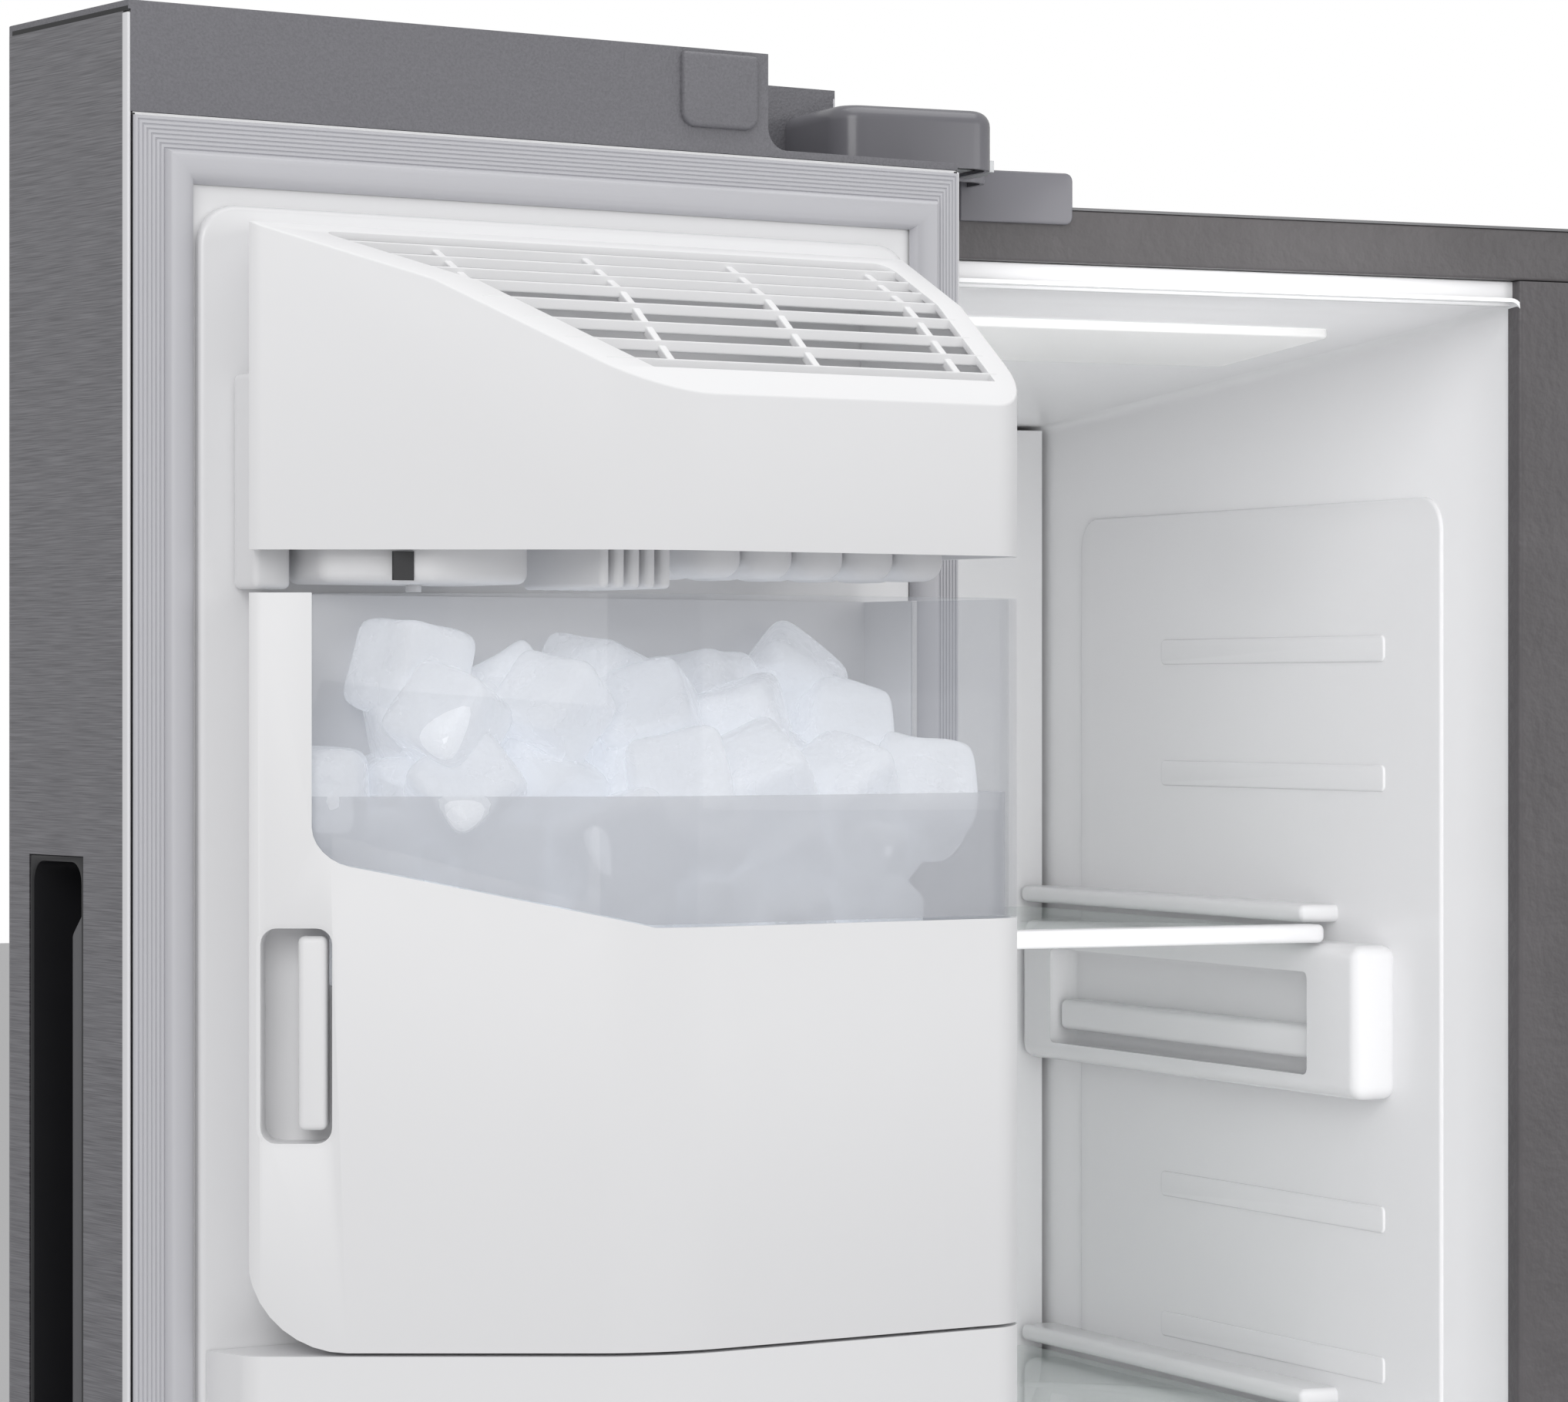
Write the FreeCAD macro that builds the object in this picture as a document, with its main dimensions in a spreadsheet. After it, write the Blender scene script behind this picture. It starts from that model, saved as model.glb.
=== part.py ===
# Side by side refrigerator, standing with both doors swung open on their stops.
# Millimetres. X runs to the right, Y to the back, Z up. The origin is on the floor, in the middle of the
# cabinet's width and in the plane of its front face.
import FreeCAD, Part
import math
import os
import re
import Sketcher
import PartDesign

os.makedirs("parts", exist_ok=True)
doc = FreeCAD.newDocument("refrigerator")
sheet = doc.addObject("Spreadsheet::Sheet", "Sizes")

SIZES = {
    # cabinet
    "cabinet_width": 911, "cabinet_depth": 727, "case_top": 1735.7, "case_bottom": 30, "steel_sheet": 1.2,
    "flange_width": 45, "rail_height": 23.6, "rail_depth": 12, "rail_bottom": 60, "case_back": 725.8,
    # the two compartments, as seen from the front, with a machine space low at the back
    "freezer_left": -410.5, "freezer_right": -86.5, "fridge_left": -26.5, "fridge_right": 410.5,
    "opening_bottom": 120, "opening_top": 1699.5, "liner_depth": 640, "liner_wall": 2, "liner_taper": 7,
    "ceiling_fall": 47, "floor_rise": 12, "hump_front": 480, "hump_top": 310, "machine_top": 290,
    "machine_front": 500, "roller_depth": 650, "roller_radius": 14, "duct_front": 467, "duct_wall": 2.5,
    # doors: thickness from the outer skin to the inner plane
    "freezer_door_width": 392, "fridge_door_width": 512, "door_thickness": 104, "door_bottom": 95,
    "door_top": 1780, "top_cap_height": 42, "cap_lip": 3.5, "bottom_cap_height": 30, "skin": 1,
    "skin_depth": 100, "pin_inset": 9, "pin_behind_skin": 54, "seal_gap": 8, "door_open": 169.3, "pin_radius": 6,
    "bush_bore": 6.05, "bush_radius": 7.9, "seal_width": 30, "seal_height": 6.5, "seal_inset": 4,
    "panel_rise": 4, "panel_inset": 34, "dike_height": 40, "dike_width": 20, "dike_hinge_inset": 50,
    "dike_free_inset": 40,
    # full-height pocket handles in the doors' free edges
    "handle_bottom": 800, "handle_top": 1456, "handle_near": -81.5, "handle_far": -36.5,
    "handle_reach": 32,
    # ice maker, ice bucket and chute on the inner side of the freezer door
    "ice_low": 52, "ice_high": 358, "ice_flat": 230, "ice_front": 120, "ice_flank": 30,
    "cover_bottom": 1572.5, "cover_back": 1696, "cover_front": 1642, "bucket_top": 1556.5,
    "bucket_bottom": 1270, "window_bottom": 1430, "window_left": 338, "shell_wall": 2.5, "chute_bottom": 1120,
    # dispenser in the outer side of the freezer door
    "dispenser_low": 91, "dispenser_high": 301, "dispenser_bottom": 985, "dispenser_top": 1360,
    "dispenser_panel_bottom": 1255, "dispenser_depth": 62,
}
for row, (alias, number) in enumerate(SIZES.items(), 1):
    sheet.set(f"A{row}", alias)
    sheet.set(f"B{row}", str(number))
    sheet.setAlias(f"B{row}", alias)
doc.recompute()

ALIAS = re.compile(r"\b(" + "|".join(sorted(SIZES, key=len, reverse=True)) + r")\b")
subparts = []


def value(formula):
    """The number that a formula of the sheet's names works out to."""
    return float(sheet.evalExpression(str(formula)))


def bind(item, prop, formula):
    """Tie a property to a formula written with the sheet's names."""
    item.setExpression(prop, ALIAS.sub(r"Sizes.\1", str(formula)))


def block(x, y, z, name="block"):
    """A box from the low to the high formula along each axis."""
    item = doc.addObject("Part::Box", name)
    for prop, axis, (low, high) in zip(("Length", "Width", "Height"), "xyz", (x, y, z)):
        bind(item, prop, f"({high}) - ({low})")
        bind(item, f"Placement.Base.{axis}", low)
    return item


def cylinder(radius, length, at, axis="z", name="cylinder"):
    """A cylinder that starts at a point and runs along an axis."""
    turns = {"x": ((0, 1, 0), 90), "y": ((1, 0, 0), -90), "z": ((0, 0, 1), 0)}
    item = doc.addObject("Part::Cylinder", name)
    bind(item, "Radius", radius)
    bind(item, "Height", length)
    direction, angle = turns[axis]
    item.Placement = FreeCAD.Placement(FreeCAD.Vector(), FreeCAD.Rotation(FreeCAD.Vector(*direction), angle))
    for letter, formula in zip("xyz", at):
        bind(item, f"Placement.Base.{letter}", formula)
    return item


def taper(front, back, y, name="taper"):
    """A box along Y whose front and back rectangles differ: each is (x low, x high, z low, z high)."""
    item = doc.addObject("Part::Wedge", name)
    for prop, formula in zip(("Xmin", "Xmax", "Zmin", "Zmax"), front):
        bind(item, prop, formula)
    for prop, formula in zip(("X2min", "X2max", "Z2min", "Z2max"), back):
        bind(item, prop, formula)
    bind(item, "Ymin", y[0])
    bind(item, "Ymax", y[1])
    return item


def prism(points, z, name="prism"):
    """An upright PartDesign body padded from a closed outline of (x, y) formulas."""
    body = doc.addObject("PartDesign::Body", name)
    sketch = body.newObject("Sketcher::SketchObject", name + "_outline")
    plane = next(f for f in body.Origin.OriginFeatures if f.Role == "XY_Plane")
    sketch.AttachmentSupport = [(plane, "")]
    sketch.MapMode = "FlatFace"
    bind(sketch, "AttachmentOffset.Base.z", z[0])
    corners = [FreeCAD.Vector(value(px), value(py), 0) for px, py in points]
    for number, start in enumerate(corners):
        sketch.addGeometry(Part.LineSegment(start, corners[(number + 1) % len(corners)]), False)
    for number in range(len(corners)):
        following = (number + 1) % len(corners)
        sketch.addConstraint(Sketcher.Constraint("Coincident", number, 2, following, 1))
    pad = body.newObject("PartDesign::Pad", name + "_pad")
    pad.Profile = sketch
    bind(pad, "Length", f"({z[1]}) - ({z[0]})")
    doc.recompute()
    return body


def cut(base, *tools, name="cut"):
    item = doc.addObject("Part::Cut", name)
    item.Base = base
    item.Tool = tools[0] if len(tools) == 1 else group(*tools)
    return item


def common(base, tool, name="common"):
    item = doc.addObject("Part::Common", name)
    item.Base = base
    item.Tool = tool
    return item


def fuse(*pieces, name="fuse"):
    item = doc.addObject("Part::MultiFuse", name)
    item.Shapes = list(pieces)
    item.Refine = True
    return item


def group(*pieces, name="group"):
    """Separate solids that stay separate."""
    item = doc.addObject("Part::Compound", name)
    item.Links = list(pieces)
    return item


def rounded(base, radius, test, name="rounded"):
    """Round the edges of a shape that a test picks."""
    doc.recompute()
    item = doc.addObject("Part::Fillet", name)
    item.Base = base
    item.Edges = [(n, radius, radius) for n, edge in enumerate(base.Shape.Edges, 1) if test(edge)]
    return item


def upright(edge, *spots, near=1.0):
    """True for a vertical edge, at one of the (x, y) spots if any are given."""
    ends = [vertex.Point for vertex in edge.Vertexes]
    if len(ends) != 2 or abs(ends[0].z - ends[1].z) < edge.Length - 0.01:
        return False
    return not spots or any(math.hypot(ends[0].x - x, ends[0].y - y) < near for x, y in spots)


def level(z):
    """A test for edges that lie at one height."""
    def test(edge):
        box = edge.BoundBox
        return box.ZLength < 0.01 and abs(box.ZMin - z) < 0.05
    return test


def finish(item, label):
    """Name a sub-part."""
    item.Label = label
    subparts.append(item)
    return item


class Door:
    """A door's own frame: across runs from its hinge edge, out runs from its inner plane to the cabinet."""

    def __init__(self, side, width):
        self.side = side
        self.width = width

    def x(self, low, high):
        if self.side > 0:
            return f"{low} - pin_inset", f"{high} - pin_inset"
        return f"pin_inset - ({high})", f"pin_inset - ({low})"

    def y(self, low, high):
        depth = "door_thickness - pin_behind_skin"
        return f"{low} + {depth}", f"{high} + {depth}"

    def block(self, across, out, z):
        return block(self.x(*across), self.y(*out), z)

    def spot(self, across, out):
        low, _ = self.x(across, across)
        depth, _ = self.y(out, out)
        return low, depth

    def prism(self, points, z, name):
        return prism([self.spot(*point) for point in points], z, name)

    def rod(self, low, high, out, z, radius):
        """A cylinder along the door's width."""
        start, stop = self.x(low, high)
        depth, _ = self.y(out, out)
        return cylinder(radius, f"({stop}) - ({start})", (start, depth, z), "x")

    def hang(self, item, label):
        """Put a finished piece on the hinge, at the door's open angle."""
        holder = group(item, name=label)
        holder.Placement = FreeCAD.Placement(FreeCAD.Vector(), FreeCAD.Rotation(FreeCAD.Vector(0, 0, 1), 1))
        bind(holder, "Placement.Base.x", f"{self.side} * (pin_inset - cabinet_width / 2)")
        bind(holder, "Placement.Base.y", "pin_behind_skin - door_thickness - seal_gap")
        bind(holder, "Placement.Rotation.Angle", f"{-self.side} * door_open")
        return finish(holder, label)


freezer_door = Door(1, "freezer_door_width")
fridge_door = Door(-1, "fridge_door_width")
INSIDE = ("-cabinet_width / 2 + steel_sheet", "cabinet_width / 2 - steel_sheet")


# ---- cabinet shell ----
def make_case():
    outer = block(("-cabinet_width / 2", "cabinet_width / 2"), ("0", "cabinet_depth"),
                  ("case_bottom", "case_top"))
    inner = block(INSIDE, ("steel_sheet", "cabinet_depth + 1"), ("case_bottom - 1", "case_top - steel_sheet"))
    mouth = block(("-cabinet_width / 2 + flange_width", "cabinet_width / 2 - flange_width"),
                  ("-1", "steel_sheet + 1"), ("case_bottom - 1", "case_top - steel_sheet - rail_height"))
    slot = block(INSIDE, ("-1", "steel_sheet + 1"),
                 ("case_top - steel_sheet - rail_height - 0.1", "case_top - steel_sheet"))
    finish(cut(outer, inner, mouth, slot), "outer_case")


def make_rails():
    low, high = INSIDE
    flange_low = "-cabinet_width / 2 + flange_width"
    flange_high = "cabinet_width / 2 - flange_width"
    top = block(INSIDE, ("0", "rail_depth"),
                ("case_top - steel_sheet - rail_height", "case_top - steel_sheet"))
    bottom = block((flange_low, flange_high), ("0", "rail_depth"), ("rail_bottom", "opening_bottom"))
    posts = [block(x, ("steel_sheet", "rail_depth"),
                   ("opening_bottom", "case_top - steel_sheet - rail_height"))
             for x in ((low, flange_low), (flange_high, high))]
    finish(group(top, bottom, *posts), "front_rails")
    post = block(("freezer_right", "fridge_left"), ("0", "rail_depth - 2"),
                 ("opening_bottom", "case_top - steel_sheet - rail_height"))
    finish(post, "centre_mullion")


def make_tray():
    floor = block(INSIDE, ("rail_depth", "machine_front"), ("case_bottom", "case_bottom + 2"))
    wall = block(INSIDE, ("machine_front", "machine_front + 2"), ("case_bottom", "machine_top"))
    shelf = block(INSIDE, ("machine_front", "case_back"), ("machine_top - 2", "machine_top"))
    sole = block(INSIDE, ("machine_front", "case_back"), ("case_bottom", "case_bottom + 2"))
    ears = [block((f"{x}", f"{x} + 4"), ("roller_depth - 7", "roller_depth + 7"), ("6", "case_bottom"))
            for x in (-434, 430)]
    axle_bore = cylinder("4.05", "900", ("-450", "roller_depth", "roller_radius"), "x")
    finish(cut(fuse(floor, wall, shelf, sole, *ears), axle_bore), "base_tray")
    panel = block(INSIDE, ("case_back", "cabinet_depth"), ("machine_top", "case_top - steel_sheet"))
    finish(panel, "back_panel")


def liner_shape(left, right, wall):
    """A compartment's tapered outline, with the step over the machine space, grown by a wall."""
    front = (f"{left} - {wall}", f"{right} + {wall}", f"opening_bottom - {wall}", f"opening_top + {wall}")
    back = (f"{left} + liner_taper - {wall}", f"{right} - liner_taper + {wall}",
            f"opening_bottom + floor_rise - {wall}", f"opening_top - ceiling_fall + {wall}")
    body = taper(front, back, ("0", f"liner_depth + {wall}"))
    hump = block((f"{left} - 20", f"{right} + 20"), (f"hump_front + {wall}", "liner_depth + 20"),
                 ("opening_bottom - 20", f"hump_top - {wall}"))
    return cut(body, hump)


def make_liners():
    for label, left, right in (("freezer_liner", "freezer_left", "freezer_right"),
                               ("fridge_liner", "fridge_left", "fridge_right")):
        frame_room = block((f"{left} - 20", f"{right} + 20"), ("-1", "rail_depth"),
                           ("opening_bottom - 20", "opening_top + 20"))
        finish(cut(liner_shape(left, right, "liner_wall"), liner_shape(left, right, "0"), frame_room), label)


def make_cabinet_foam():
    """Foam fills what is left between the case, the two liners and the machine space."""
    block_of_foam = block(INSIDE, ("rail_depth", "case_back"), ("case_bottom + 2", "case_top - steel_sheet"))
    machine = block(("-cabinet_width / 2", "cabinet_width / 2"), ("machine_front", "cabinet_depth"),
                    ("0", "machine_top"))
    foam = cut(block_of_foam, machine, liner_shape("freezer_left", "freezer_right", "liner_wall"),
               liner_shape("fridge_left", "fridge_right", "liner_wall"))
    finish(foam, "cabinet_foam")


def make_toe_and_feet():
    bars = [block(("-400", "400"), ("-22", "-19"), ("14", "20")),
            block(("-400", "400"), ("-22", "-19"), ("74", "82"))]
    for step in range(41):
        x = -400 + step * 19.85
        bars.append(block((f"{x}", f"{x} + 6"), ("-22", "-19"), ("20", "74")))
    returns = [block((f"{x}", f"{x} + 6"), ("-19", "0"), ("60", "82")) for x in (-400, 394)]
    finish(fuse(*bars, *returns), "toe_grille")
    feet = []
    for x in (-380, 380):
        pad = cylinder("20", "8", (f"{x}", "45", "0"))
        stem = cylinder("5", "case_bottom - 8", (f"{x}", "45", "8"))
        feet.append(fuse(pad, stem))
    finish(group(*feet), "levelling_feet")


# ---- hinges ----
PIN_X = "cabinet_width / 2 - pin_inset"
PIN_Y = "pin_behind_skin - door_thickness - seal_gap"


def make_hinges():
    tops, bottoms = [], []
    for side in (-1, 1):
        pin_x = f"{side} * ({PIN_X})"
        inner = value(pin_x) - side * 51
        far = value(pin_x) - side * 118
        seat = block((f"{min(inner, far)}", f"{max(inner, far)}"), ("6", "64"), ("case_top", "case_top + 8"))
        pin_at = value(pin_x)
        arm = prism([(f"{pin_at + side * 9}", f"{PIN_Y} - 13"), (f"{pin_at - side * 60}", f"{PIN_Y} + 4"),
                     (f"{pin_at - side * 64}", f"{PIN_Y} + 20"), (f"{pin_at - side * 65}", "6"),
                     (f"{far}", "6"),
                     (f"{far}", "64"), (f"{inner}", "64"), (f"{pin_at - side * 14}", f"{PIN_Y} + 30"),
                     (f"{pin_at + side * 5}", f"{PIN_Y} + 12")],
                    ("case_top + 8", "case_top + 13"), "hinge_arm")
        pin = cylinder("pin_radius", "28", (pin_x, PIN_Y, "case_top - 20"))
        tops.append(fuse(seat, arm, pin))
        low = min(value(pin_x) - side * 30, value(pin_x) + side * 8)
        plate = block((f"{low}", f"{low} + 38"), (f"{PIN_Y} - 12", "0"),
                      ("door_bottom - 7", "door_bottom - 2"))
        flange = block((f"{low}", f"{low} + 38"), ("-3", "0"), ("rail_bottom - 8", "door_bottom - 2"))
        stud = cylinder("pin_radius", "22", (pin_x, PIN_Y, "door_bottom - 2"))
        bottoms.append(fuse(plate, flange, stud))
    finish(group(*tops, *bottoms), "hinges")


def hinge_cover(side):
    """A domed nose over the pin, a flat body on the case and a lip hanging in front of the top rail."""
    pin_x = value(f"{side} * ({PIN_X})")
    pin_y = value(PIN_Y)

    def outline(grow):
        return [(f"{pin_x + side * (22 + grow)}", f"{pin_y + 18 + grow}"),
                (f"{pin_x + side * (22 + grow)}", f"{pin_y - 20 - grow}"),
                (f"{pin_x - side * (70 + grow)}", f"{pin_y - 2 - grow}"),
                (f"{pin_x - side * (76 + grow)}", f"{70 + grow}"),
                (f"{pin_x - side * (30 - grow)}", f"{70 + grow}"),
                (f"{pin_x - side * (8 - grow)}", "5"),
                (f"{pin_x - side * (8 - grow)}", f"{pin_y + 22 + grow}")]

    corners = [(float(x), float(y)) for x, y in outline(0)]
    shell = prism(outline(0), ("case_top + 6.3", "case_top + 31.8"), "nose")
    shell = rounded(shell, 16, lambda edge: upright(edge, *corners[:3]))
    shell = rounded(shell, 7, level(value("case_top + 31.8")))
    hollow = prism(outline(-2.5), ("case_top + 6", "case_top + 29"), "nose_hollow")
    nose = cut(shell, hollow)
    x_low, x_high = sorted((pin_x - side * 69, pin_x - side * 125))
    deck = block((f"{x_low}", f"{x_high}"), ("-steel_sheet", "72"), ("case_top + 0.1", "case_top + 14.8"))
    under = block((f"{x_low + 2.5}", f"{x_high - 2.5}"), ("2.5", "69.5"), ("case_top - 1", "case_top + 13.1"))
    bridge = block((f"{x_low - 5}", f"{x_high - 2.5}") if side > 0 else (f"{x_low + 2.5}", f"{x_high + 5}"),
                   ("2.5", "67"), ("case_top - 1", "case_top + 13.1"))
    lip = block((f"{x_low}", f"{x_high}"), ("-steel_sheet", "0"), ("case_top - 8.2", "case_top + 14.8"))
    hood = cut(fuse(nose, deck), under, bridge)
    reach = prism([(f"{pin_x + side * 12}", f"{pin_y - 16}"), (f"{pin_x - side * 66}", f"{pin_y + 2}"),
                   (f"{pin_x - side * 68}", "3"), (f"{pin_x - side * 122}", "3"),
                   (f"{pin_x - side * 122}", "67"),
                   (f"{pin_x - side * 48}", "67"), (f"{pin_x - side * 12}", f"{pin_y + 32}"),
                   (f"{pin_x + side * 6}", f"{pin_y + 15}")], ("case_top - 1", "case_top + 13.1"),
                   "arm_space")
    return fuse(cut(hood, reach), lip)


# ---- cold machinery ----
def make_machinery():
    shell = rounded(cylinder("78", "166", ("-250", "612", "case_bottom + 26")), 30,
                    lambda e: len(e.Vertexes) == 1)
    plate = block(("-335", "-165"), ("530", "695"), ("case_bottom + 22", "case_bottom + 26"))
    feet = [cylinder("14", "20", (f"{-250 + dx}", f"{612 + dy}", "case_bottom + 2"))
            for dx in (-60, 60) for dy in (-60, 60)]
    finish(fuse(shell, plate, *feet), "compressor")
    tubes = [cylinder("4", "230", ("60", f"{560 + 22 * row}", f"{70 + 24 * line}"), "x")
             for row in range(4) for line in range(7)]
    fins = [block((f"{70 + 14 * n}", f"{70 + 14 * n} + 1"), ("550", "636"), ("58", "226")) for n in range(16)]
    stands = [block((f"{x}", f"{x} + 3"), ("550", "636"), ("case_bottom + 2", "62")) for x in (66, 281)]
    finish(fuse(*tubes, *fins, *stands), "condenser")
    finish(group(fan_bracket(-30, 590, 140, 44, 108), fan_bracket(-248.5, 498, 760, 52, 64)), "fan_brackets")
    finish(fan("-30", 612, "140", 40, 7), "condenser_fan")
    coil = [cylinder("4", "270", ("-384", f"{520 + 26 * row}", f"{430 + 24 * line}"), "x")
            for row in range(3) for line in range(9)]
    plates = [block((f"{-376 + 8 * n}", f"{-376 + 8 * n} + 0.8"), ("508", "584"), ("416", "636"))
              for n in range(32)]
    finish(fuse(*coil, *plates), "evaporator")
    finish(fan("-248.5", 520, "760", 48, 5), "evaporator_fan")


def fan_bracket(x, front, z, hole, drop):
    """A shroud plate with a round hole, and a motor held behind the fan by two bent stays."""
    plate = block((f"{x - hole - 8}", f"{x + hole + 8}"), (f"{front}", f"{front + 4}"),
                  (f"{z - drop}", f"{z + hole + 36}"))
    plate = cut(plate, cylinder(f"{hole}", "10", (f"{x}", f"{front - 3}", f"{z}"), "y"))
    motor = cylinder("18", "24", (f"{x}", f"{front + 30.5}", f"{z}"), "y")
    stays = []
    for side in (-1, 1):
        low, high = sorted((z + side * (hole + 24), z + side * (hole + 28)))
        stays.append(block((f"{x - 2}", f"{x + 2}"), (f"{front + 4}", f"{front + 36}"),
                           (f"{low}", f"{high}")))
        low, high = sorted((z + side * 17, z + side * (hole + 26)))
        stays.append(block((f"{x - 2}", f"{x + 2}"), (f"{front + 32}", f"{front + 36}"),
                           (f"{low}", f"{high}")))
    return fuse(plate, motor, *stays)


def fan(x, y, z, radius, count):
    """A hub with twisted blades, turning about Y."""
    pieces = [cylinder("12", "16", (x, f"{y - 8}", z), "y")]
    for number in range(count):
        blade = block(("-9", "9"), ("-0.8", "0.8"), ("10", f"{radius}"))
        blade.Placement.Base = FreeCAD.Vector(-9, -0.8, 10)
        pitched = group(blade)
        pitched.Placement.Rotation = FreeCAD.Rotation(FreeCAD.Vector(0, 0, 1), 28)
        spun = group(pitched)
        spun.Placement = FreeCAD.Placement(FreeCAD.Vector(value(x), y, value(z)),
                                           FreeCAD.Rotation(FreeCAD.Vector(0, 1, 0), 360 * number / count))
        pieces.append(spun)
    return fuse(*pieces)


def make_back_covers():
    slots = [block((f"{-400 + 40 * n}", f"{-400 + 40 * n} + 26"), ("case_back - 1", "cabinet_depth + 1"),
                   (f"{z}", f"{z} + 4")) for n in range(20) for z in (100, 120, 140, 160)]
    sheet_cover = block(("-440", "440"), ("case_back", "cabinet_depth"),
                        ("case_bottom + 2", "machine_top - 2"))
    finish(cut(sheet_cover, *slots), "machine_cover")
    covers = []
    for left, right, half, depth, top in (
            ("freezer_left", "freezer_right", "(freezer_right - freezer_left) / 2 - 9", "duct_front",
             "opening_top - 37"),
            ("fridge_left", "fridge_right", "70", "liner_depth - 30", "opening_top - ceiling_fall - 4")):
        centre = f"({left} + {right}) / 2"
        panel = block((f"{centre} - ({half})", f"{centre} + {half}"), (depth, f"{depth} + duct_wall"),
                      ("hump_top + 20", top))
        vents = [block((f"{centre} - 50", f"{centre} + 50"), (f"{depth} - 1", f"{depth} + 5"),
                       (f"{z}", f"{z} + 5"))
                 for base in (440, 760, 1000, 1290, 1590) for z in (base, base + 12, base + 24)]
        edges = [block((f"{centre} - ({half})", f"{centre} - ({half}) + duct_wall"), (depth, f"{depth} + 24"),
                       ("hump_top + 20", top)),
                 block((f"{centre} + {half} - duct_wall", f"{centre} + {half}"), (depth, f"{depth} + 24"),
                       ("hump_top + 20", top))]
        covers.append(fuse(cut(panel, *vents), *edges))
    finish(group(*covers), "duct_covers")


# ---- inside the compartments ----
FREEZER_SHELVES = (1397.7, 1160, 925, 700)
FRIDGE_SHELVES = (1430, 1190, 950, 720)


def make_shelves():
    freezer_glass, freezer_frames, supports = [], [], []
    for z in FREEZER_SHELVES:
        x = ("freezer_left + 20", "freezer_right - 20")
        freezer_glass.append(block(x, ("158", "duct_front - 6"), (f"{z} + 2.5", f"{z} + 6.5")))
        freezer_frames.append(rounded(block(x, ("146", "158"), (f"{z}", f"{z} + 8.6")), 3, along_x))
        for (low, high), start in zip(wall_strips("freezer", 21), ("118", "108")):
            supports.append(block((low, high), (start, "duct_front - 2"), (f"{z} - 75", f"{z} - 0.3")))
            supports.append(block((low, high), ("160", "duct_front - 2"), (f"{z} + 9", f"{z} + 17.8")))
    finish(group(*freezer_glass), "freezer_shelf_glass")
    finish(group(*freezer_frames), "freezer_shelf_frames")
    runners = make_runners()
    finish(group(common(group(*supports, *runners["freezer"]),
                        liner_shape("freezer_left", "freezer_right", "0")),
                 common(group(*runners["fridge"]), liner_shape("fridge_left", "fridge_right", "0"))),
                 "shelf_supports")
    fridge_glass, fridge_frames = [], []
    for z in FRIDGE_SHELVES:
        x = ("fridge_left + 14", "fridge_right - 14")
        fridge_glass.append(block(x, ("142", "560"), (f"{z} + 3", f"{z} + 7")))
        bars = [block(x, ("130", "142"), (f"{z}", f"{z} + 12")),
                block(x, ("560", "570"), (f"{z}", f"{z} + 16"))]
        arms = [block((low, high), ("142", "560"), (f"{z} - 22", f"{z} + 3"))
                for low, high in (("fridge_left + 20", "fridge_left + 24"),
                                  ("fridge_right - 24", "fridge_right - 20"))]
        fridge_frames.append(fuse(*bars, *arms))
    for z, back in ((392, "470"), (606, "560")):
        x = ("fridge_left + 10", "fridge_right - 10")
        fridge_glass.append(block(x, ("142", back), (f"{z} + 2", f"{z} + 6")))
        fridge_frames.append(block(x, ("130", "142"), (f"{z}", f"{z} + 12")))
    finish(group(*fridge_glass), "fridge_shelf_glass")
    finish(group(*fridge_frames), "fridge_shelf_frames")


def make_runners():
    """Rails that the drawers' rims slide on, ledges under the crisper covers and the fridge shelves' tracks."""
    runners = {"freezer": [], "fridge": []}
    for name, zs, back in (("freezer", (390, 600), "duct_front - 10"), ("fridge", (385, 600), "468")):
        for low, high in wall_strips(name, 22.5):
            runners[name] += [block((low, high), ("140", back), (f"{z} - 10", f"{z} - 4.5")) for z in zs]
    for low, high in wall_strips("fridge", 14):
        runners["fridge"] += [block((low, high), ("142", "470"), (f"{z}", f"{z} + 7.5")) for z in (386, 600)]
        shift = (16, 4) if low.startswith("fridge_left") else (-4, -16)
        track = (f"{low} + {shift[0]}", f"{high} + {shift[1]}")
        runners["fridge"].append(block(track, ("570.3", "liner_depth + 5"), ("660", "1500")))
    return runners


def wall_strips(name, reach):
    """The x ranges of strips that stand off a compartment's two side walls by a reach."""
    return ((f"{name}_left - 5", f"{name}_left + {reach}"), (f"{name}_right - {reach}", f"{name}_right + 5"))


def along_x(edge):
    ends = [vertex.Point for vertex in edge.Vertexes]
    return len(ends) == 2 and abs(ends[0].x - ends[1].x) > edge.Length - 0.01


def open_tray(x, y, z, wall, slant=0, name="tray"):
    """An open-topped drawer whose front leans forward by a slant."""
    (x0, x1), (y0, y1), (z0, z1) = x, y, z

    def solid(inset, top):
        return taper((f"{x0} + {inset}", f"{x1} - {inset}", f"{z0} + {inset}", top),
                     (f"{x0} + {inset}", f"{x1} - {inset}", f"{z0} + {inset}", top),
                     (f"{y0} + {inset}", f"{y1} - {inset}"))

    body = rounded(solid(0, z1), 12, upright)
    rim = block((f"{x0} - 5", f"{x1} + 5"), (f"{y0} + {slant}", y1), (f"{z1} - 4", z1))
    return cut(fuse(body, rim), rounded(solid(wall, f"{z1} + 1"), 10, upright), name=name)


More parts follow.
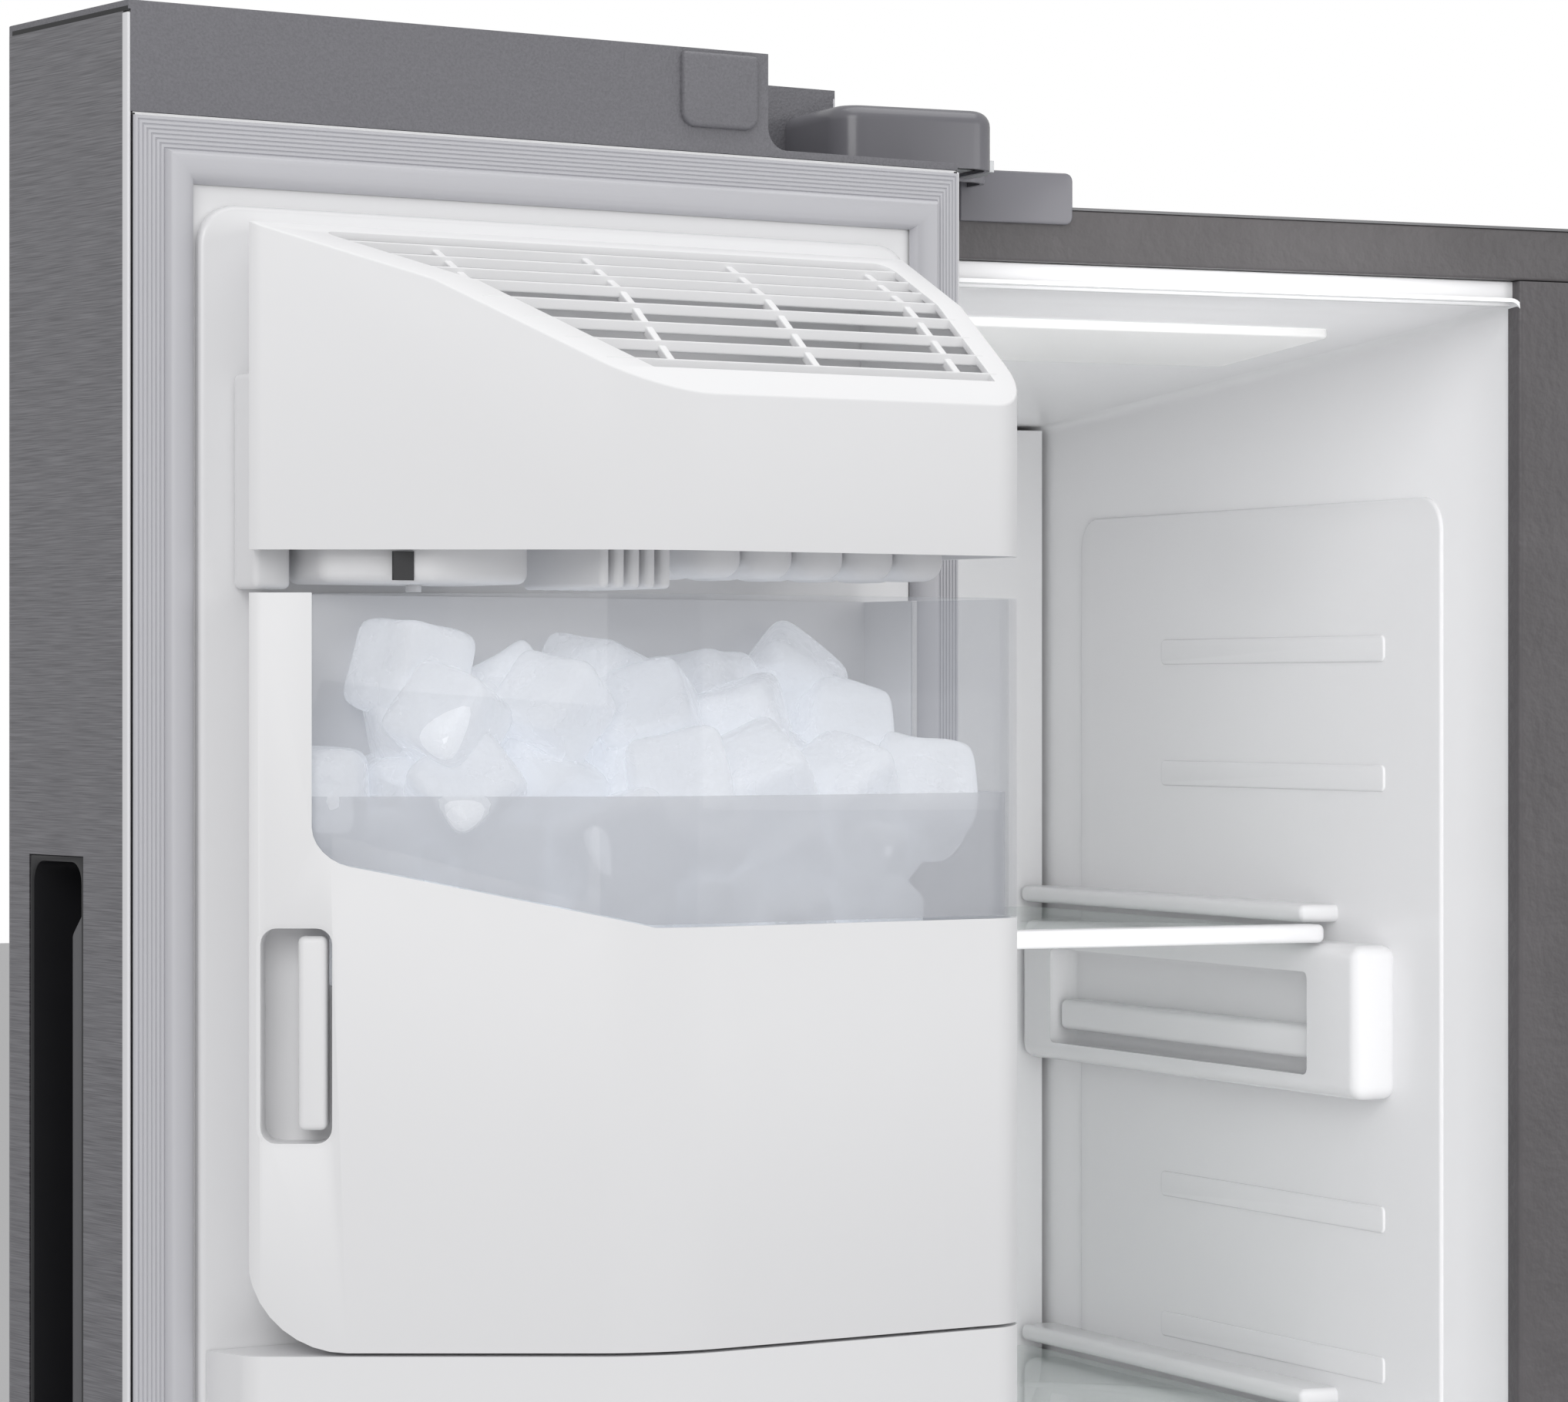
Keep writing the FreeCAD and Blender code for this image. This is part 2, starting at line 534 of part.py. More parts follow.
def make_drawers():
    for label, low, high in (("freezer_drawer_upper", 425, 600), ("freezer_drawer_lower", 170, 390)):
        back = "duct_front - 12"
        drawer = open_tray(("freezer_left + 24", "freezer_right - 24"), ("150", back),
                           (f"{low}", f"{high}"), 2.5)
        grip = block(("(freezer_left + freezer_right) / 2 - 60", "(freezer_left + freezer_right) / 2 + 60"),
                     ("136", "151"), (f"{high} - 26", f"{high} - 20"))
        finish(fuse(drawer, grip), label)
    for label, low, high in (("crisper_upper", 430, 600), ("crisper_lower", 190, 385)):
        back = "hump_front - 20" if low < 310 else "560"
        drawer = open_tray(("fridge_left + 26", "fridge_right - 26"), ("150", back), (f"{low}", f"{high}"),
                           2.5)
        centre = "(fridge_left + fridge_right) / 2"
        grip = block((f"{centre} - 90", f"{centre} + 90"), ("136", "151"), (f"{high} - 26", f"{high} - 20"))
        finish(fuse(drawer, grip), label)


def make_lights():
    lenses = []
    for left, right, inset, front in (("freezer_left", "freezer_right", 46, 92),
                                      ("fridge_left", "fridge_right", 60, 120)):
        lens = block((f"{left} + {inset}", f"{right} - {inset}"), (f"{front}", f"{front} + 108"),
                     ("1668", "1710"))
        lenses.append(common(rounded(lens, 6, upright), liner_shape(left, right, "0")))
    finish(group(*lenses), "interior_lights")


# ---- doors ----
def make_door_shell(door, name):
    """Skin, foam, caps, seal and handle that both doors share."""
    wide = door.width
    height = ("door_bottom + bottom_cap_height", "door_top - top_cap_height")
    skin_height = ("door_bottom + bottom_cap_height", "door_top - cap_lip")
    outer = door.block(("0", wide), ("-door_thickness", "skin_depth - door_thickness"), skin_height)
    corners = [(value(a), value(b)) for a, b in (door.spot("0", "-door_thickness"),
                                                 door.spot(wide, "-door_thickness"))]
    outer = rounded(outer, 7, lambda edge: upright(edge, *corners))
    inner = door.block(("skin", f"{wide} - skin"), ("skin - door_thickness", "10"),
                       ("door_bottom", "door_top"))
    inner_corners = [(value(a), value(b)) for a, b in (door.spot("skin", "skin - door_thickness"),
                                                       door.spot(f"{wide} - skin", "skin - door_thickness"))]
    inner = rounded(inner, 6, lambda edge: upright(edge, *inner_corners))
    pocket = door.block((f"{wide} - handle_reach", f"{wide} + 2"), ("handle_near", "handle_far"),
                        ("handle_bottom", "handle_top"))
    wrap = cut(outer, inner)
    room = door.block(("-5", "98"), ("14 - door_thickness", "5"), ("door_top - 39", "door_top + 5"))
    skin_tools = [pocket, room]
    foam_tools = [pocket]
    if name == "freezer":
        window = dispenser_hole()
        skin_tools.append(window)
        foam_tools.append(window)
    door.hang(cut(wrap, *skin_tools), f"{name}_door_skin")
    bore_at = door.spot("pin_inset", "pin_behind_skin - door_thickness")
    boss_top = cylinder("bush_radius", "60", (*bore_at, "case_top - 25"))
    boss_low = cylinder("bush_radius", "60", (*bore_at, "door_bottom"))
    foam = rounded(door.block(("skin", f"{wide} - skin"), ("skin - door_thickness", "-3"), height), 6,
                   lambda edge: upright(edge, *inner_corners))
    door.hang(cut(foam, boss_top, boss_low, *foam_tools), f"{name}_door_foam")
    cap = door.block(("0", wide), ("-door_thickness", "0"), ("door_top - top_cap_height", "door_top"))
    cap = rounded(cap, 7, lambda edge: upright(edge, *corners))
    cap = rounded(cap, 2.5, level(value("door_top")))
    cap = cut(cap, room, wrap)
    boss = cylinder("bush_radius", "26", (*bore_at, "case_top - 21"))
    bore = cylinder("bush_bore", "60", (*bore_at, "case_top - 20.5"))
    top_cap = cut(fuse(cap, boss), bore)
    plate = door.block(("0", wide), ("-door_thickness", "0"),
                       ("door_bottom", "door_bottom + bottom_cap_height"))
    plate = rounded(plate, 7, lambda edge: upright(edge, *corners))
    well = door.block(("24", f"{wide} - 4"), ("4 - door_thickness", "-4"),
                      ("door_bottom + 4", "door_bottom + 90"))
    low_boss = cylinder("bush_radius", "bottom_cap_height + 4", (*bore_at, "door_bottom"))
    low_bore = cylinder("bush_bore", "25", (*bore_at, "door_bottom - 1"))
    bottom_cap = cut(fuse(cut(plate, well), low_boss), low_bore)
    if name == "freezer":
        door.hang(top_cap, "freezer_door_top_cap")
        door.hang(bottom_cap, "freezer_door_bottom_cap")
    else:
        door.hang(group(top_cap, bottom_cap), "fridge_door_caps")
    ring = door.block(("seal_inset", f"{wide} - seal_inset"), ("0", "seal_height"),
                      ("door_bottom + 4", "case_top - 0.2"))
    gap = door.block(("seal_inset + seal_width", f"{wide} - seal_inset - seal_width"),
                     ("-1", "seal_height + 1"),
                     ("door_bottom + 4 + seal_width", "case_top - 0.2 - seal_width"))
    channel = door.block(("seal_inset + 15", f"{wide} - seal_inset - 15"), ("3.5", "seal_height + 1"),
                         ("door_bottom + 19", "case_top - 15.2"))
    door.hang(cut(ring, gap, channel), f"{name}_door_gasket")
    grip = door.block((f"{wide} - handle_reach", wide), ("handle_near", "handle_far"),
                      ("handle_bottom", "handle_top"))
    deep = door.block((f"{wide} - handle_reach + 2.5", f"{wide} + 1"),
                      ("handle_near + 2.5", "handle_far - 2.5"),
                      ("handle_bottom + 2.5", "handle_top - 2.5"))
    door.hang(cut(grip, deep), f"{name}_door_handle")


def panel_shape(door, wall, top):
    """The raised inner panel of a door: a flat plateau and two long dikes that hold the bins."""
    wide = door.width
    inset = f"panel_inset + {wall}"
    plateau = door.block((inset, f"{wide} - ({inset})"), ("-3", f"panel_rise - {wall}"),
                         (f"door_bottom + panel_inset + {wall}", f"case_top - panel_inset - {wall}"))
    dikes = []
    for low, high in ((f"dike_hinge_inset + {wall}", f"dike_hinge_inset + dike_width - {wall}"),
                      (f"{wide} - dike_free_inset - dike_width + {wall}",
                       f"{wide} - dike_free_inset - {wall}")):
        dikes.append(door.block((low, high), ("-3", f"dike_height - {wall}"),
                                (f"door_bottom + panel_inset + {wall}", f"{top} - {wall}")))
    return fuse(plateau, *dikes)


def make_door_liner(door, name, top):
    flange = door.block(("2", f"{door.width} - 2"), ("-3", "-0.2"),
                        ("door_bottom + bottom_cap_height", "door_top - top_cap_height"))
    shell = cut(fuse(flange, panel_shape(door, "0", top)), panel_shape(door, "liner_wall", top))
    door.hang(shell, f"{name}_door_liner")


def make_bin(door, across, z, height):
    """A clip-on bin with a front that leans out."""
    (low, high) = across
    outer = door.block((low, high), ("dike_height / 5", "100"), (z, f"{z} + {height}"))
    outer = rounded(outer, 14, lambda edge: upright(edge) and edge.CenterOfMass.y > 100)
    inner = door.block((f"{low} + 2.5", f"{high} - 2.5"), ("dike_height / 5 + 2.5", "97.5"),
                       (f"{z} + 2.5", f"{z} + {height} + 1"))
    inner = rounded(inner, 11.5, lambda edge: upright(edge) and edge.CenterOfMass.y > 100)
    return cut(outer, inner)


def make_bins():
    for door, name, heights in ((freezer_door, "freezer", (240, 480, 720)),
                                (fridge_door, "fridge", (240, 520, 800, 1080, 1360))):
        across = ("dike_hinge_inset + dike_width + 0.4", f"{door.width} - dike_free_inset - dike_width - 0.4")
        bins = [make_bin(door, across, f"{z}", "110") for z in heights]
        door.hang(group(*bins), f"{name}_door_bins")


# ---- ice maker ----
def ice_outline(inset, back):
    """The plan outline shared by the ice maker's cover, the bucket and the chute, shrunk by an inset."""
    return [(f"ice_low + {inset}", f"panel_rise + 0.5 + {back}"),
            (f"ice_low + {inset}", f"ice_front - {inset}"),
            (f"ice_flat - {inset} / 2", f"ice_front - {inset}"),
            (f"ice_high - {inset}", f"ice_flank - {inset} / 2"),
            (f"ice_high - {inset}", f"panel_rise + 0.5 + {back}")]


def ice_prism(inset, z, name, back=None):
    """The outline padded up, with its vertical front corners rounded."""
    points = ice_outline(inset, inset if back is None else back)
    body = freezer_door.prism(points, z, name)
    spots = [tuple(value(part) for part in freezer_door.spot(*point)) for point in points]
    shrink = value(f"{inset}")
    body = rounded(body, 20 - shrink, lambda edge: upright(edge, spots[1]))
    body = rounded(body, 70 - shrink, lambda edge: upright(edge, spots[2]))
    return rounded(body, 10 - shrink, lambda edge: upright(edge, spots[3]))


def sloped_space(drop):
    """What lies above the ice maker's slanting roof, lowered by a drop."""
    back, front = f"cover_back - {drop}", f"cover_front - {drop}"
    low, high = freezer_door.x("0", "freezer_door_width")
    near, far = freezer_door.y("ice_flank", "ice_front - 12")
    far_edge = f"{far} + 40"
    fall = "(cover_back - cover_front) / (ice_front - 12 - ice_flank) * 40"
    return taper((low, high, back, "cover_back + 60"), (low, high, f"{front} - {fall}", "cover_back + 60"),
                 (near, far_edge), "roof_space")


def make_ice_maker():
    cover_z = ("cover_bottom", "cover_back")
    solid = cut(ice_prism("0", cover_z, "cover"), sloped_space(0))
    hollow = cut(ice_prism("shell_wall", ("cover_bottom - 1", "cover_back - shell_wall"), "cover_hollow",
                           "-1"),
                 sloped_space(4))
    shell = cut(solid, hollow)
    slats = []
    for row in range(11):
        n = 38 + row * 6.4
        for column in range(4):
            start = 64 + column * 49
            stop = min(start + 45, value("ice_flat") + (120 - n) * 1.25 - 14)
            if stop - start > 8:
                slats.append(freezer_door.block((f"{start}", f"{stop}"), (f"{n}", f"{n} + 4"),
                                                ("cover_front - 20", "cover_back + 5")))
    freezer_door.hang(cut(shell, *slats), "icemaker_cover")
    frame = [freezer_door.block(("60", "334"), ("panel_rise + 0.5", "8.5"), ("1600", "1640")),
             freezer_door.prism([("252", "8.5"), ("252", "62"), ("296", "62"), ("330", "38"), ("330", "8.5")],
                                ("1560", "1640"), "motor_box"),
             freezer_door.block(("334", "350"), ("panel_rise + 0.5", "22"), ("1558", "1640")),
             freezer_door.block(("60", "66"), ("8.5", "70"), ("1574", "1612"))]
    button_bore = cylinder("3.3", "8", (*freezer_door.spot("285", "30"), "1559"))
    freezer_door.hang(cut(fuse(*frame), freezer_door.rod("60", "66", "62", "1582", "4.05"), button_bore),
                      "icemaker_motor_box")
    cups = [freezer_door.block((f"{74 + 24.4 * column}", f"{94.4 + 24.4 * column}"), (f"{n}", f"{n} + 25"),
                               ("1567", "1592"))
            for column in range(5) for n in (35, 64)]
    body = rounded(freezer_door.block(("70", "197"), ("32", "92"), ("1563", "1590")), 8,
                   lambda edge: upright(edge) or level(1563)(edge))
    shafts = [freezer_door.rod("61", "71", "62", "1582", "4"),
              freezer_door.rod("196", "203", "62", "1582", "4")]
    freezer_door.hang(fuse(cut(body, *cups), *shafts), "ice_tray")
    fingers = [freezer_door.block((f"{a}", f"{a} + 6"), ("34", "90"), ("1558.5", "1604"))
               for a in (206, 220, 234)]
    freezer_door.hang(fuse(freezer_door.rod("204", "251.5", "62", "1606", "4"), *fingers), "ice_level_arm")
    button = cylinder("3", "6.5", (*freezer_door.spot("285", "30"), "1557.3"))
    freezer_door.hang(button, "ice_test_button")


def make_bucket():
    """White ice bucket with a clear window round its upper front and a grip pocket in its flank."""
    tall = ("bucket_bottom", "bucket_top")
    shell = cut(ice_prism("0", tall, "bucket"),
                ice_prism("shell_wall", ("bucket_bottom + 3", "bucket_top + 1"), "bucket_in"))
    across = ("ice_low - 1", "window_left")
    opening = freezer_door.block(across, ("40", "ice_front + 1"), ("window_bottom", "bucket_top + 1"))
    pocket = freezer_door.block(("328", "366"), ("20", "70"), ("1349", "1424"))
    outlet = cylinder("34", "10", (*freezer_door.spot("175", "62"), "bucket_bottom - 2"))
    spider = freezer_door.block(("138", "212"), ("58", "66"), ("bucket_bottom", "bucket_bottom + 3"))
    shaft_bore = cylinder("6.05", "10", (*freezer_door.spot("175", "62"), "bucket_bottom - 2"))
    freezer_door.hang(cut(fuse(cut(shell, opening, pocket, outlet), spider), shaft_bore), "ice_bucket")
    pane = common(ice_prism("0", ("window_bottom", "bucket_top"), "pane"),
                  freezer_door.block(across, ("40", "ice_front + 1"), ("window_bottom", "bucket_top")))
    freezer_door.hang(cut(pane, ice_prism("shell_wall", ("window_bottom - 1", "bucket_top + 1"),
                                          "pane_in")), "bucket_window")
    shaft_at = freezer_door.spot("175", "62")
    shaft = cylinder("6", "190", (*shaft_at, "bucket_bottom + 0.5"))
    blades = []
    for number in range(5):
        blade = doc.addObject("Part::Box", "blade")
        bind(blade, "Length", "84")
        bind(blade, "Width", "12")
        bind(blade, "Height", "4")
        turn = FreeCAD.Rotation(FreeCAD.Vector(0, 0, 1), 36 * number)
        middle = FreeCAD.Vector(value(shaft_at[0]), value(shaft_at[1]), 1284 + 36 * number)
        blade.Placement = FreeCAD.Placement(middle + turn.multVec(FreeCAD.Vector(-42, -6, 0)), turn)
        blades.append(blade)
    freezer_door.hang(fuse(shaft, *blades), "bucket_auger")
    chute = cut(ice_prism("0", ("chute_bottom", "bucket_bottom - 0.5"), "chute"),
                ice_prism("shell_wall", ("chute_bottom + 3", "bucket_bottom - 4"), "chute_in"))
    throat = cylinder("30", "40", (*freezer_door.spot("175", "62"), "bucket_bottom - 20"))
    freezer_door.hang(cut(chute, throat), "ice_chute_cover")


# ---- dispenser ----
def dispenser_hole():
    return freezer_door.block(("dispenser_low", "dispenser_high"),
                              ("-door_thickness - 1", "dispenser_depth - door_thickness"),
                              ("dispenser_bottom", "dispenser_top"))


def make_dispenser():
    face = "-door_thickness"
    body = freezer_door.block(("dispenser_low", "dispenser_high"), (face, f"{face} + dispenser_depth"),
                              ("dispenser_bottom", "dispenser_top"))
    bay = freezer_door.block(("dispenser_low + 8", "dispenser_high - 8"),
                             (f"{face} - 1", f"{face} + dispenser_depth - 4"),
                             ("dispenser_bottom + 10", "dispenser_panel_bottom"))
    head = freezer_door.block(("dispenser_low + 4", "dispenser_high - 4"), (f"{face} - 1", f"{face} + 5.2"),
                              ("dispenser_panel_bottom + 5", "dispenser_top - 5"))
    nozzle = cut(cylinder("24", "40", (*freezer_door.spot("196", f"{face} + 34"),
                                       "dispenser_panel_bottom - 34")),
                 cylinder("20", "60", (*freezer_door.spot("196", f"{face} + 34"),
                                       "dispenser_panel_bottom - 50")))
    ears = [freezer_door.block((f"{a}", f"{a} + 6"), (f"{face} + 32", f"{face} + 48"), ("1206", "1257"))
            for a in (160, 226)]
    bores = freezer_door.rod("150", "240", f"{face} + 40", "1213", "3.05")
    freezer_door.hang(cut(fuse(cut(body, bay, head), nozzle, *ears), bores), "dispenser_housing")
    panel = freezer_door.block(("dispenser_low + 4.2", "dispenser_high - 4.2"),
                               (f"{face} + 0.5", f"{face} + 5"),
                               ("dispenser_panel_bottom + 5.2", "dispenser_top - 5.2"))
    freezer_door.hang(panel, "dispenser_panel")
    paddle = freezer_door.block(("171", "221"), (f"{face} + 38.5", f"{face} + 41.5"), ("1120", "1213"))
    freezer_door.hang(fuse(paddle, freezer_door.rod("159", "233", f"{face} + 40", "1213", "3")),
                      "dispenser_paddle")
    tray = freezer_door.block(("dispenser_low + 9", "dispenser_high - 9"),
                              (f"{face} + 1", f"{face} + dispenser_depth - 5"),
                              ("dispenser_bottom + 10.5", "dispenser_bottom + 24"))
    basin = freezer_door.block(("dispenser_low + 12", "dispenser_high - 12"),
                               (f"{face} + 4", f"{face} + dispenser_depth - 8"),
                               ("dispenser_bottom + 13", "dispenser_bottom + 30"))
    bars = [freezer_door.block((f"dispenser_low + {20 + 14 * n}", f"dispenser_low + {23 + 14 * n}"),
                               (f"{face} + 3", f"{face} + dispenser_depth - 7"),
                               ("dispenser_bottom + 21", "dispenser_bottom + 24")) for n in range(12)]
    freezer_door.hang(fuse(cut(tray, basin), *bars), "drip_tray")


def make_rollers():
    wheels = [cylinder("roller_radius", "16", (f"{x}", "roller_depth", "roller_radius"), "x")
              for x in (-412, 396)]
    axle = cylinder("4", "872", ("-436", "roller_depth", "roller_radius"), "x")
    finish(fuse(*wheels, axle), "rear_rollers")


make_case()
make_rails()
make_tray()
make_liners()
make_cabinet_foam()
make_toe_and_feet()
make_hinges()
finish(group(hinge_cover(-1), hinge_cover(1)), "hinge_covers")
make_machinery()
make_back_covers()
make_shelves()
make_drawers()
make_lights()
for door, name, dike_top in ((freezer_door, "freezer", "chute_bottom - 20"),
                             (fridge_door, "fridge", "opening_top - 10")):
    make_door_shell(door, name)
    make_door_liner(door, name, dike_top)
make_bins()
make_ice_maker()
make_bucket()
make_dispenser()
make_rollers()
doc.recompute()

for item in doc.Objects:
    if {"Invalid", "Error"} & set(item.State):
        raise RuntimeError(f"{item.Name} failed: {item.State}")
for item in subparts:
    if item.Shape.isNull() or not item.Shape.isValid():
        raise RuntimeError(f"{item.Label} has no valid shape")
for item in subparts:
    item.Shape.exportStep(f"parts/{item.Label}.step")
    box = item.Shape.BoundBox
    print(f"{item.Label:26s} solids {len(item.Shape.Solids):3d}  x {box.XMin:8.1f} {box.XMax:8.1f}  "
          f"y {box.YMin:8.1f} {box.YMax:8.1f}  z {box.ZMin:8.1f} {box.ZMax:8.1f}")
print(len(subparts), "sub-parts")
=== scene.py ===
import bpy
import bmesh
import math
import random
from mathutils import Matrix, Vector


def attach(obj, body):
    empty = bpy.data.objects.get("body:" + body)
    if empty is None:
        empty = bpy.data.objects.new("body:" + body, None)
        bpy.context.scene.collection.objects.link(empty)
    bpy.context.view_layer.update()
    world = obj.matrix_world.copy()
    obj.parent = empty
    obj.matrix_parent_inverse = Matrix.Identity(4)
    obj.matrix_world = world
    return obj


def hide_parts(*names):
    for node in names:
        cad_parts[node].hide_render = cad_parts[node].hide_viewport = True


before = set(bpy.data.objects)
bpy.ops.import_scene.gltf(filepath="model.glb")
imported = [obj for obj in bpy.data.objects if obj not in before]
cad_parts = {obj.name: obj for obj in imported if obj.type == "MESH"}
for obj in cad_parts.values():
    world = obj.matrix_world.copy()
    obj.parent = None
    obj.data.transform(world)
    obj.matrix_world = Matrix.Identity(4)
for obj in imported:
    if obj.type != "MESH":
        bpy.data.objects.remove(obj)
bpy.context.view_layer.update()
print("frame loaded")

# ---- camera and light ----
cameraSettings = {"place": (-1.4100, -2.0909, 1.5155), "turn": -24.4, "lens": 121.18, "sensor": 36.0}
studio = {"world": 0.5, "backdrop": 1.0, "key": 60, "fill": 24, "top": 36, "cabinetLamp": 1.25}


def makeCamera():
    cameraData = bpy.data.cameras.new("camera")
    camera = bpy.data.objects.new("camera", cameraData)
    bpy.context.collection.objects.link(camera)
    camera.location = cameraSettings["place"]
    camera.rotation_euler = (math.radians(90), 0, math.radians(cameraSettings["turn"]))
    cameraData.lens = cameraSettings["lens"]
    cameraData.sensor_width = cameraSettings["sensor"]
    cameraData.clip_start = 0.1
    cameraData.clip_end = 60
    bpy.context.scene.camera = camera


def makeLamp(name, place, aim, size, power):
    lampData = bpy.data.lights.new(name, "AREA")
    lampData.shape = "RECTANGLE"
    lampData.size, lampData.size_y = size
    lampData.energy = power
    lamp = bpy.data.objects.new(name, lampData)
    bpy.context.collection.objects.link(lamp)
    lamp.location = place
    lamp.rotation_euler = (Vector(aim) - Vector(place)).to_track_quat("-Z", "Y").to_euler()
    return lamp


def makeStudio():
    world = bpy.data.worlds.new("studio")
    world.use_nodes = True
    world.node_tree.nodes["Background"].inputs["Color"].default_value = (1, 1, 1, 1)
    background = world.node_tree.nodes["Background"]
    paths = world.node_tree.nodes.new("ShaderNodeLightPath")
    level = world.node_tree.nodes.new("ShaderNodeMapRange")
    level.inputs["To Min"].default_value = studio["world"]
    level.inputs["To Max"].default_value = studio["backdrop"]
    world.node_tree.links.new(paths.outputs["Is Camera Ray"], level.inputs["Value"])
    world.node_tree.links.new(level.outputs["Result"], background.inputs["Strength"])
    bpy.context.scene.world = world
    bpy.context.scene.view_settings.view_transform = "Standard"
    makeLamp("keyLamp", (-2.9, -3.4, 3.2), (-0.4, 0, 1.3), (2.4, 2.4), studio["key"])
    makeLamp("fillLamp", (2.6, -3.2, 2.0), (0, 0, 1.1), (2.2, 2.2), studio["fill"])
    makeLamp("topLamp", (0, -0.4, 4.2), (0, 0, 0), (3.0, 2.4), studio["top"])
    for x, wide in ((-0.25, 0.28), (0.19, 0.38)):
        inner = makeLamp("cabinetLamp", (x, -0.12, 1.0), (x, 1, 1.0), (wide, 1.5),
                         studio["cabinetLamp"] * wide / 0.28)
        inner.data.spread = math.radians(95)
        inner.visible_camera = False
        inner.visible_glossy = False


makeCamera()
makeStudio()


# ---- materials ----
def newFinish(name, colour, rough, metal=0.0):
    finish = bpy.data.materials.new(name)
    finish.use_nodes = True
    shader = finish.node_tree.nodes["Principled BSDF"]
    shader.inputs["Base Color"].default_value = (*colour, 1)
    shader.inputs["Roughness"].default_value = rough
    shader.inputs["Metallic"].default_value = metal
    return finish, finish.node_tree, shader


def addNode(tree, kind, **values):
    node = tree.nodes.new(kind)
    for key, value in values.items():
        if key in node.inputs:
            node.inputs[key].default_value = value
        else:
            setattr(node, key, value)
    return node


def objectPattern(tree, scale, detail=2.0, stretch=(1, 1, 1)):
    # noise on the piece's own coordinates, stretched along an axis for brushing
    coords = tree.nodes.new("ShaderNodeTexCoord")
    mapping = tree.nodes.new("ShaderNodeMapping")
    mapping.inputs["Scale"].default_value = stretch
    noise = addNode(tree, "ShaderNodeTexNoise", Scale=scale, Detail=detail)
    tree.links.new(coords.outputs["Object"], mapping.inputs["Vector"])
    tree.links.new(mapping.outputs["Vector"], noise.inputs["Vector"])
    return noise


def tint(tree, shader, noise, dark, light, span=(0.35, 0.65)):
    ramp = tree.nodes.new("ShaderNodeValToRGB")
    ramp.color_ramp.elements[0].position, ramp.color_ramp.elements[1].position = span
    ramp.color_ramp.elements[0].color = (*dark, 1)
    ramp.color_ramp.elements[1].color = (*light, 1)
    tree.links.new(noise.outputs["Fac"], ramp.inputs["Fac"])
    tree.links.new(ramp.outputs["Color"], shader.inputs["Base Color"])


def roughen(tree, shader, noise, low, high):
    spread = addNode(tree, "ShaderNodeMapRange")
    spread.inputs["To Min"].default_value = low
    spread.inputs["To Max"].default_value = high
    tree.links.new(noise.outputs["Fac"], spread.inputs["Value"])
    tree.links.new(spread.outputs["Result"], shader.inputs["Roughness"])


def emboss(tree, shader, noise, strength, depth):
    bump = tree.nodes.new("ShaderNodeBump")
    bump.inputs["Strength"].default_value = strength
    bump.inputs["Distance"].default_value = depth
    tree.links.new(noise.outputs["Fac"], bump.inputs["Height"])
    tree.links.new(bump.outputs["Normal"], shader.inputs["Normal"])


def brushedSteel():
    finish, tree, shader = newFinish("brushedSteel", (0.34, 0.34, 0.35), 0.32, 1.0)
    grain = objectPattern(tree, 1.0, 4.0, (45, 45, 2600))
    tint(tree, shader, grain, (0.235, 0.233, 0.248), (0.405, 0.40, 0.425), (0.3, 0.7))
    roughen(tree, shader, grain, 0.26, 0.44)
    emboss(tree, shader, grain, 0.12, 0.0002)
    shader.inputs["Anisotropic"].default_value = 0.6
    return finish


def sheetPaint():
    finish, tree, shader = newFinish("sheetPaint", (0.16, 0.16, 0.165), 0.42)
    peel = objectPattern(tree, 420, 2.0)
    emboss(tree, shader, peel, 0.12, 0.0003)
    roughen(tree, shader, objectPattern(tree, 12, 3.0), 0.38, 0.48)
    return finish


def railPaint(name, colour):
    finish, tree, shader = newFinish(name, colour, 0.4)
    dark = tuple(0.93 * part for part in colour)
    light = tuple(1.06 * part for part in colour)
    tint(tree, shader, objectPattern(tree, 30, 3.0), dark, light)
    emboss(tree, shader, objectPattern(tree, 210, 2.0), 0.8, 0.0008)
    return finish


def grainedPlastic(name, colour, rough=0.5):
    finish, tree, shader = newFinish(name, colour, rough)
    grain = objectPattern(tree, 900, 3.0)
    dark = tuple(0.93 * part for part in colour)
    light = tuple(1.07 * part for part in colour)
    tint(tree, shader, grain, dark, light)
    emboss(tree, shader, grain, 0.7, 0.0005)
    return finish


def mouldedPlastic(name, colour, rough, wave=0.04, scatter=0.0):
    # smooth plastic with the faint waviness of a moulding
    finish, tree, shader = newFinish(name, colour, rough)
    emboss(tree, shader, objectPattern(tree, 28, 2.0), wave, 0.001)
    roughen(tree, shader, objectPattern(tree, 60, 3.0), rough * 0.9, rough * 1.12)
    shader.inputs["Subsurface Weight"].default_value = scatter
    shader.inputs["Subsurface Radius"].default_value = (0.01, 0.01, 0.01)
    return finish


def clearPlastic(name, colour, rough, alpha):
    # thin clear mouldings: mostly see-through, with a faint body colour and a gloss
    finish, tree, shader = newFinish(name, colour, rough)
    shader.inputs["Alpha"].default_value = alpha
    shader.inputs["IOR"].default_value = 1.55
    shader.inputs["Specular IOR Level"].default_value = 0.9
    emboss(tree, shader, objectPattern(tree, 20, 2.0), 0.02, 0.001)
    return finish


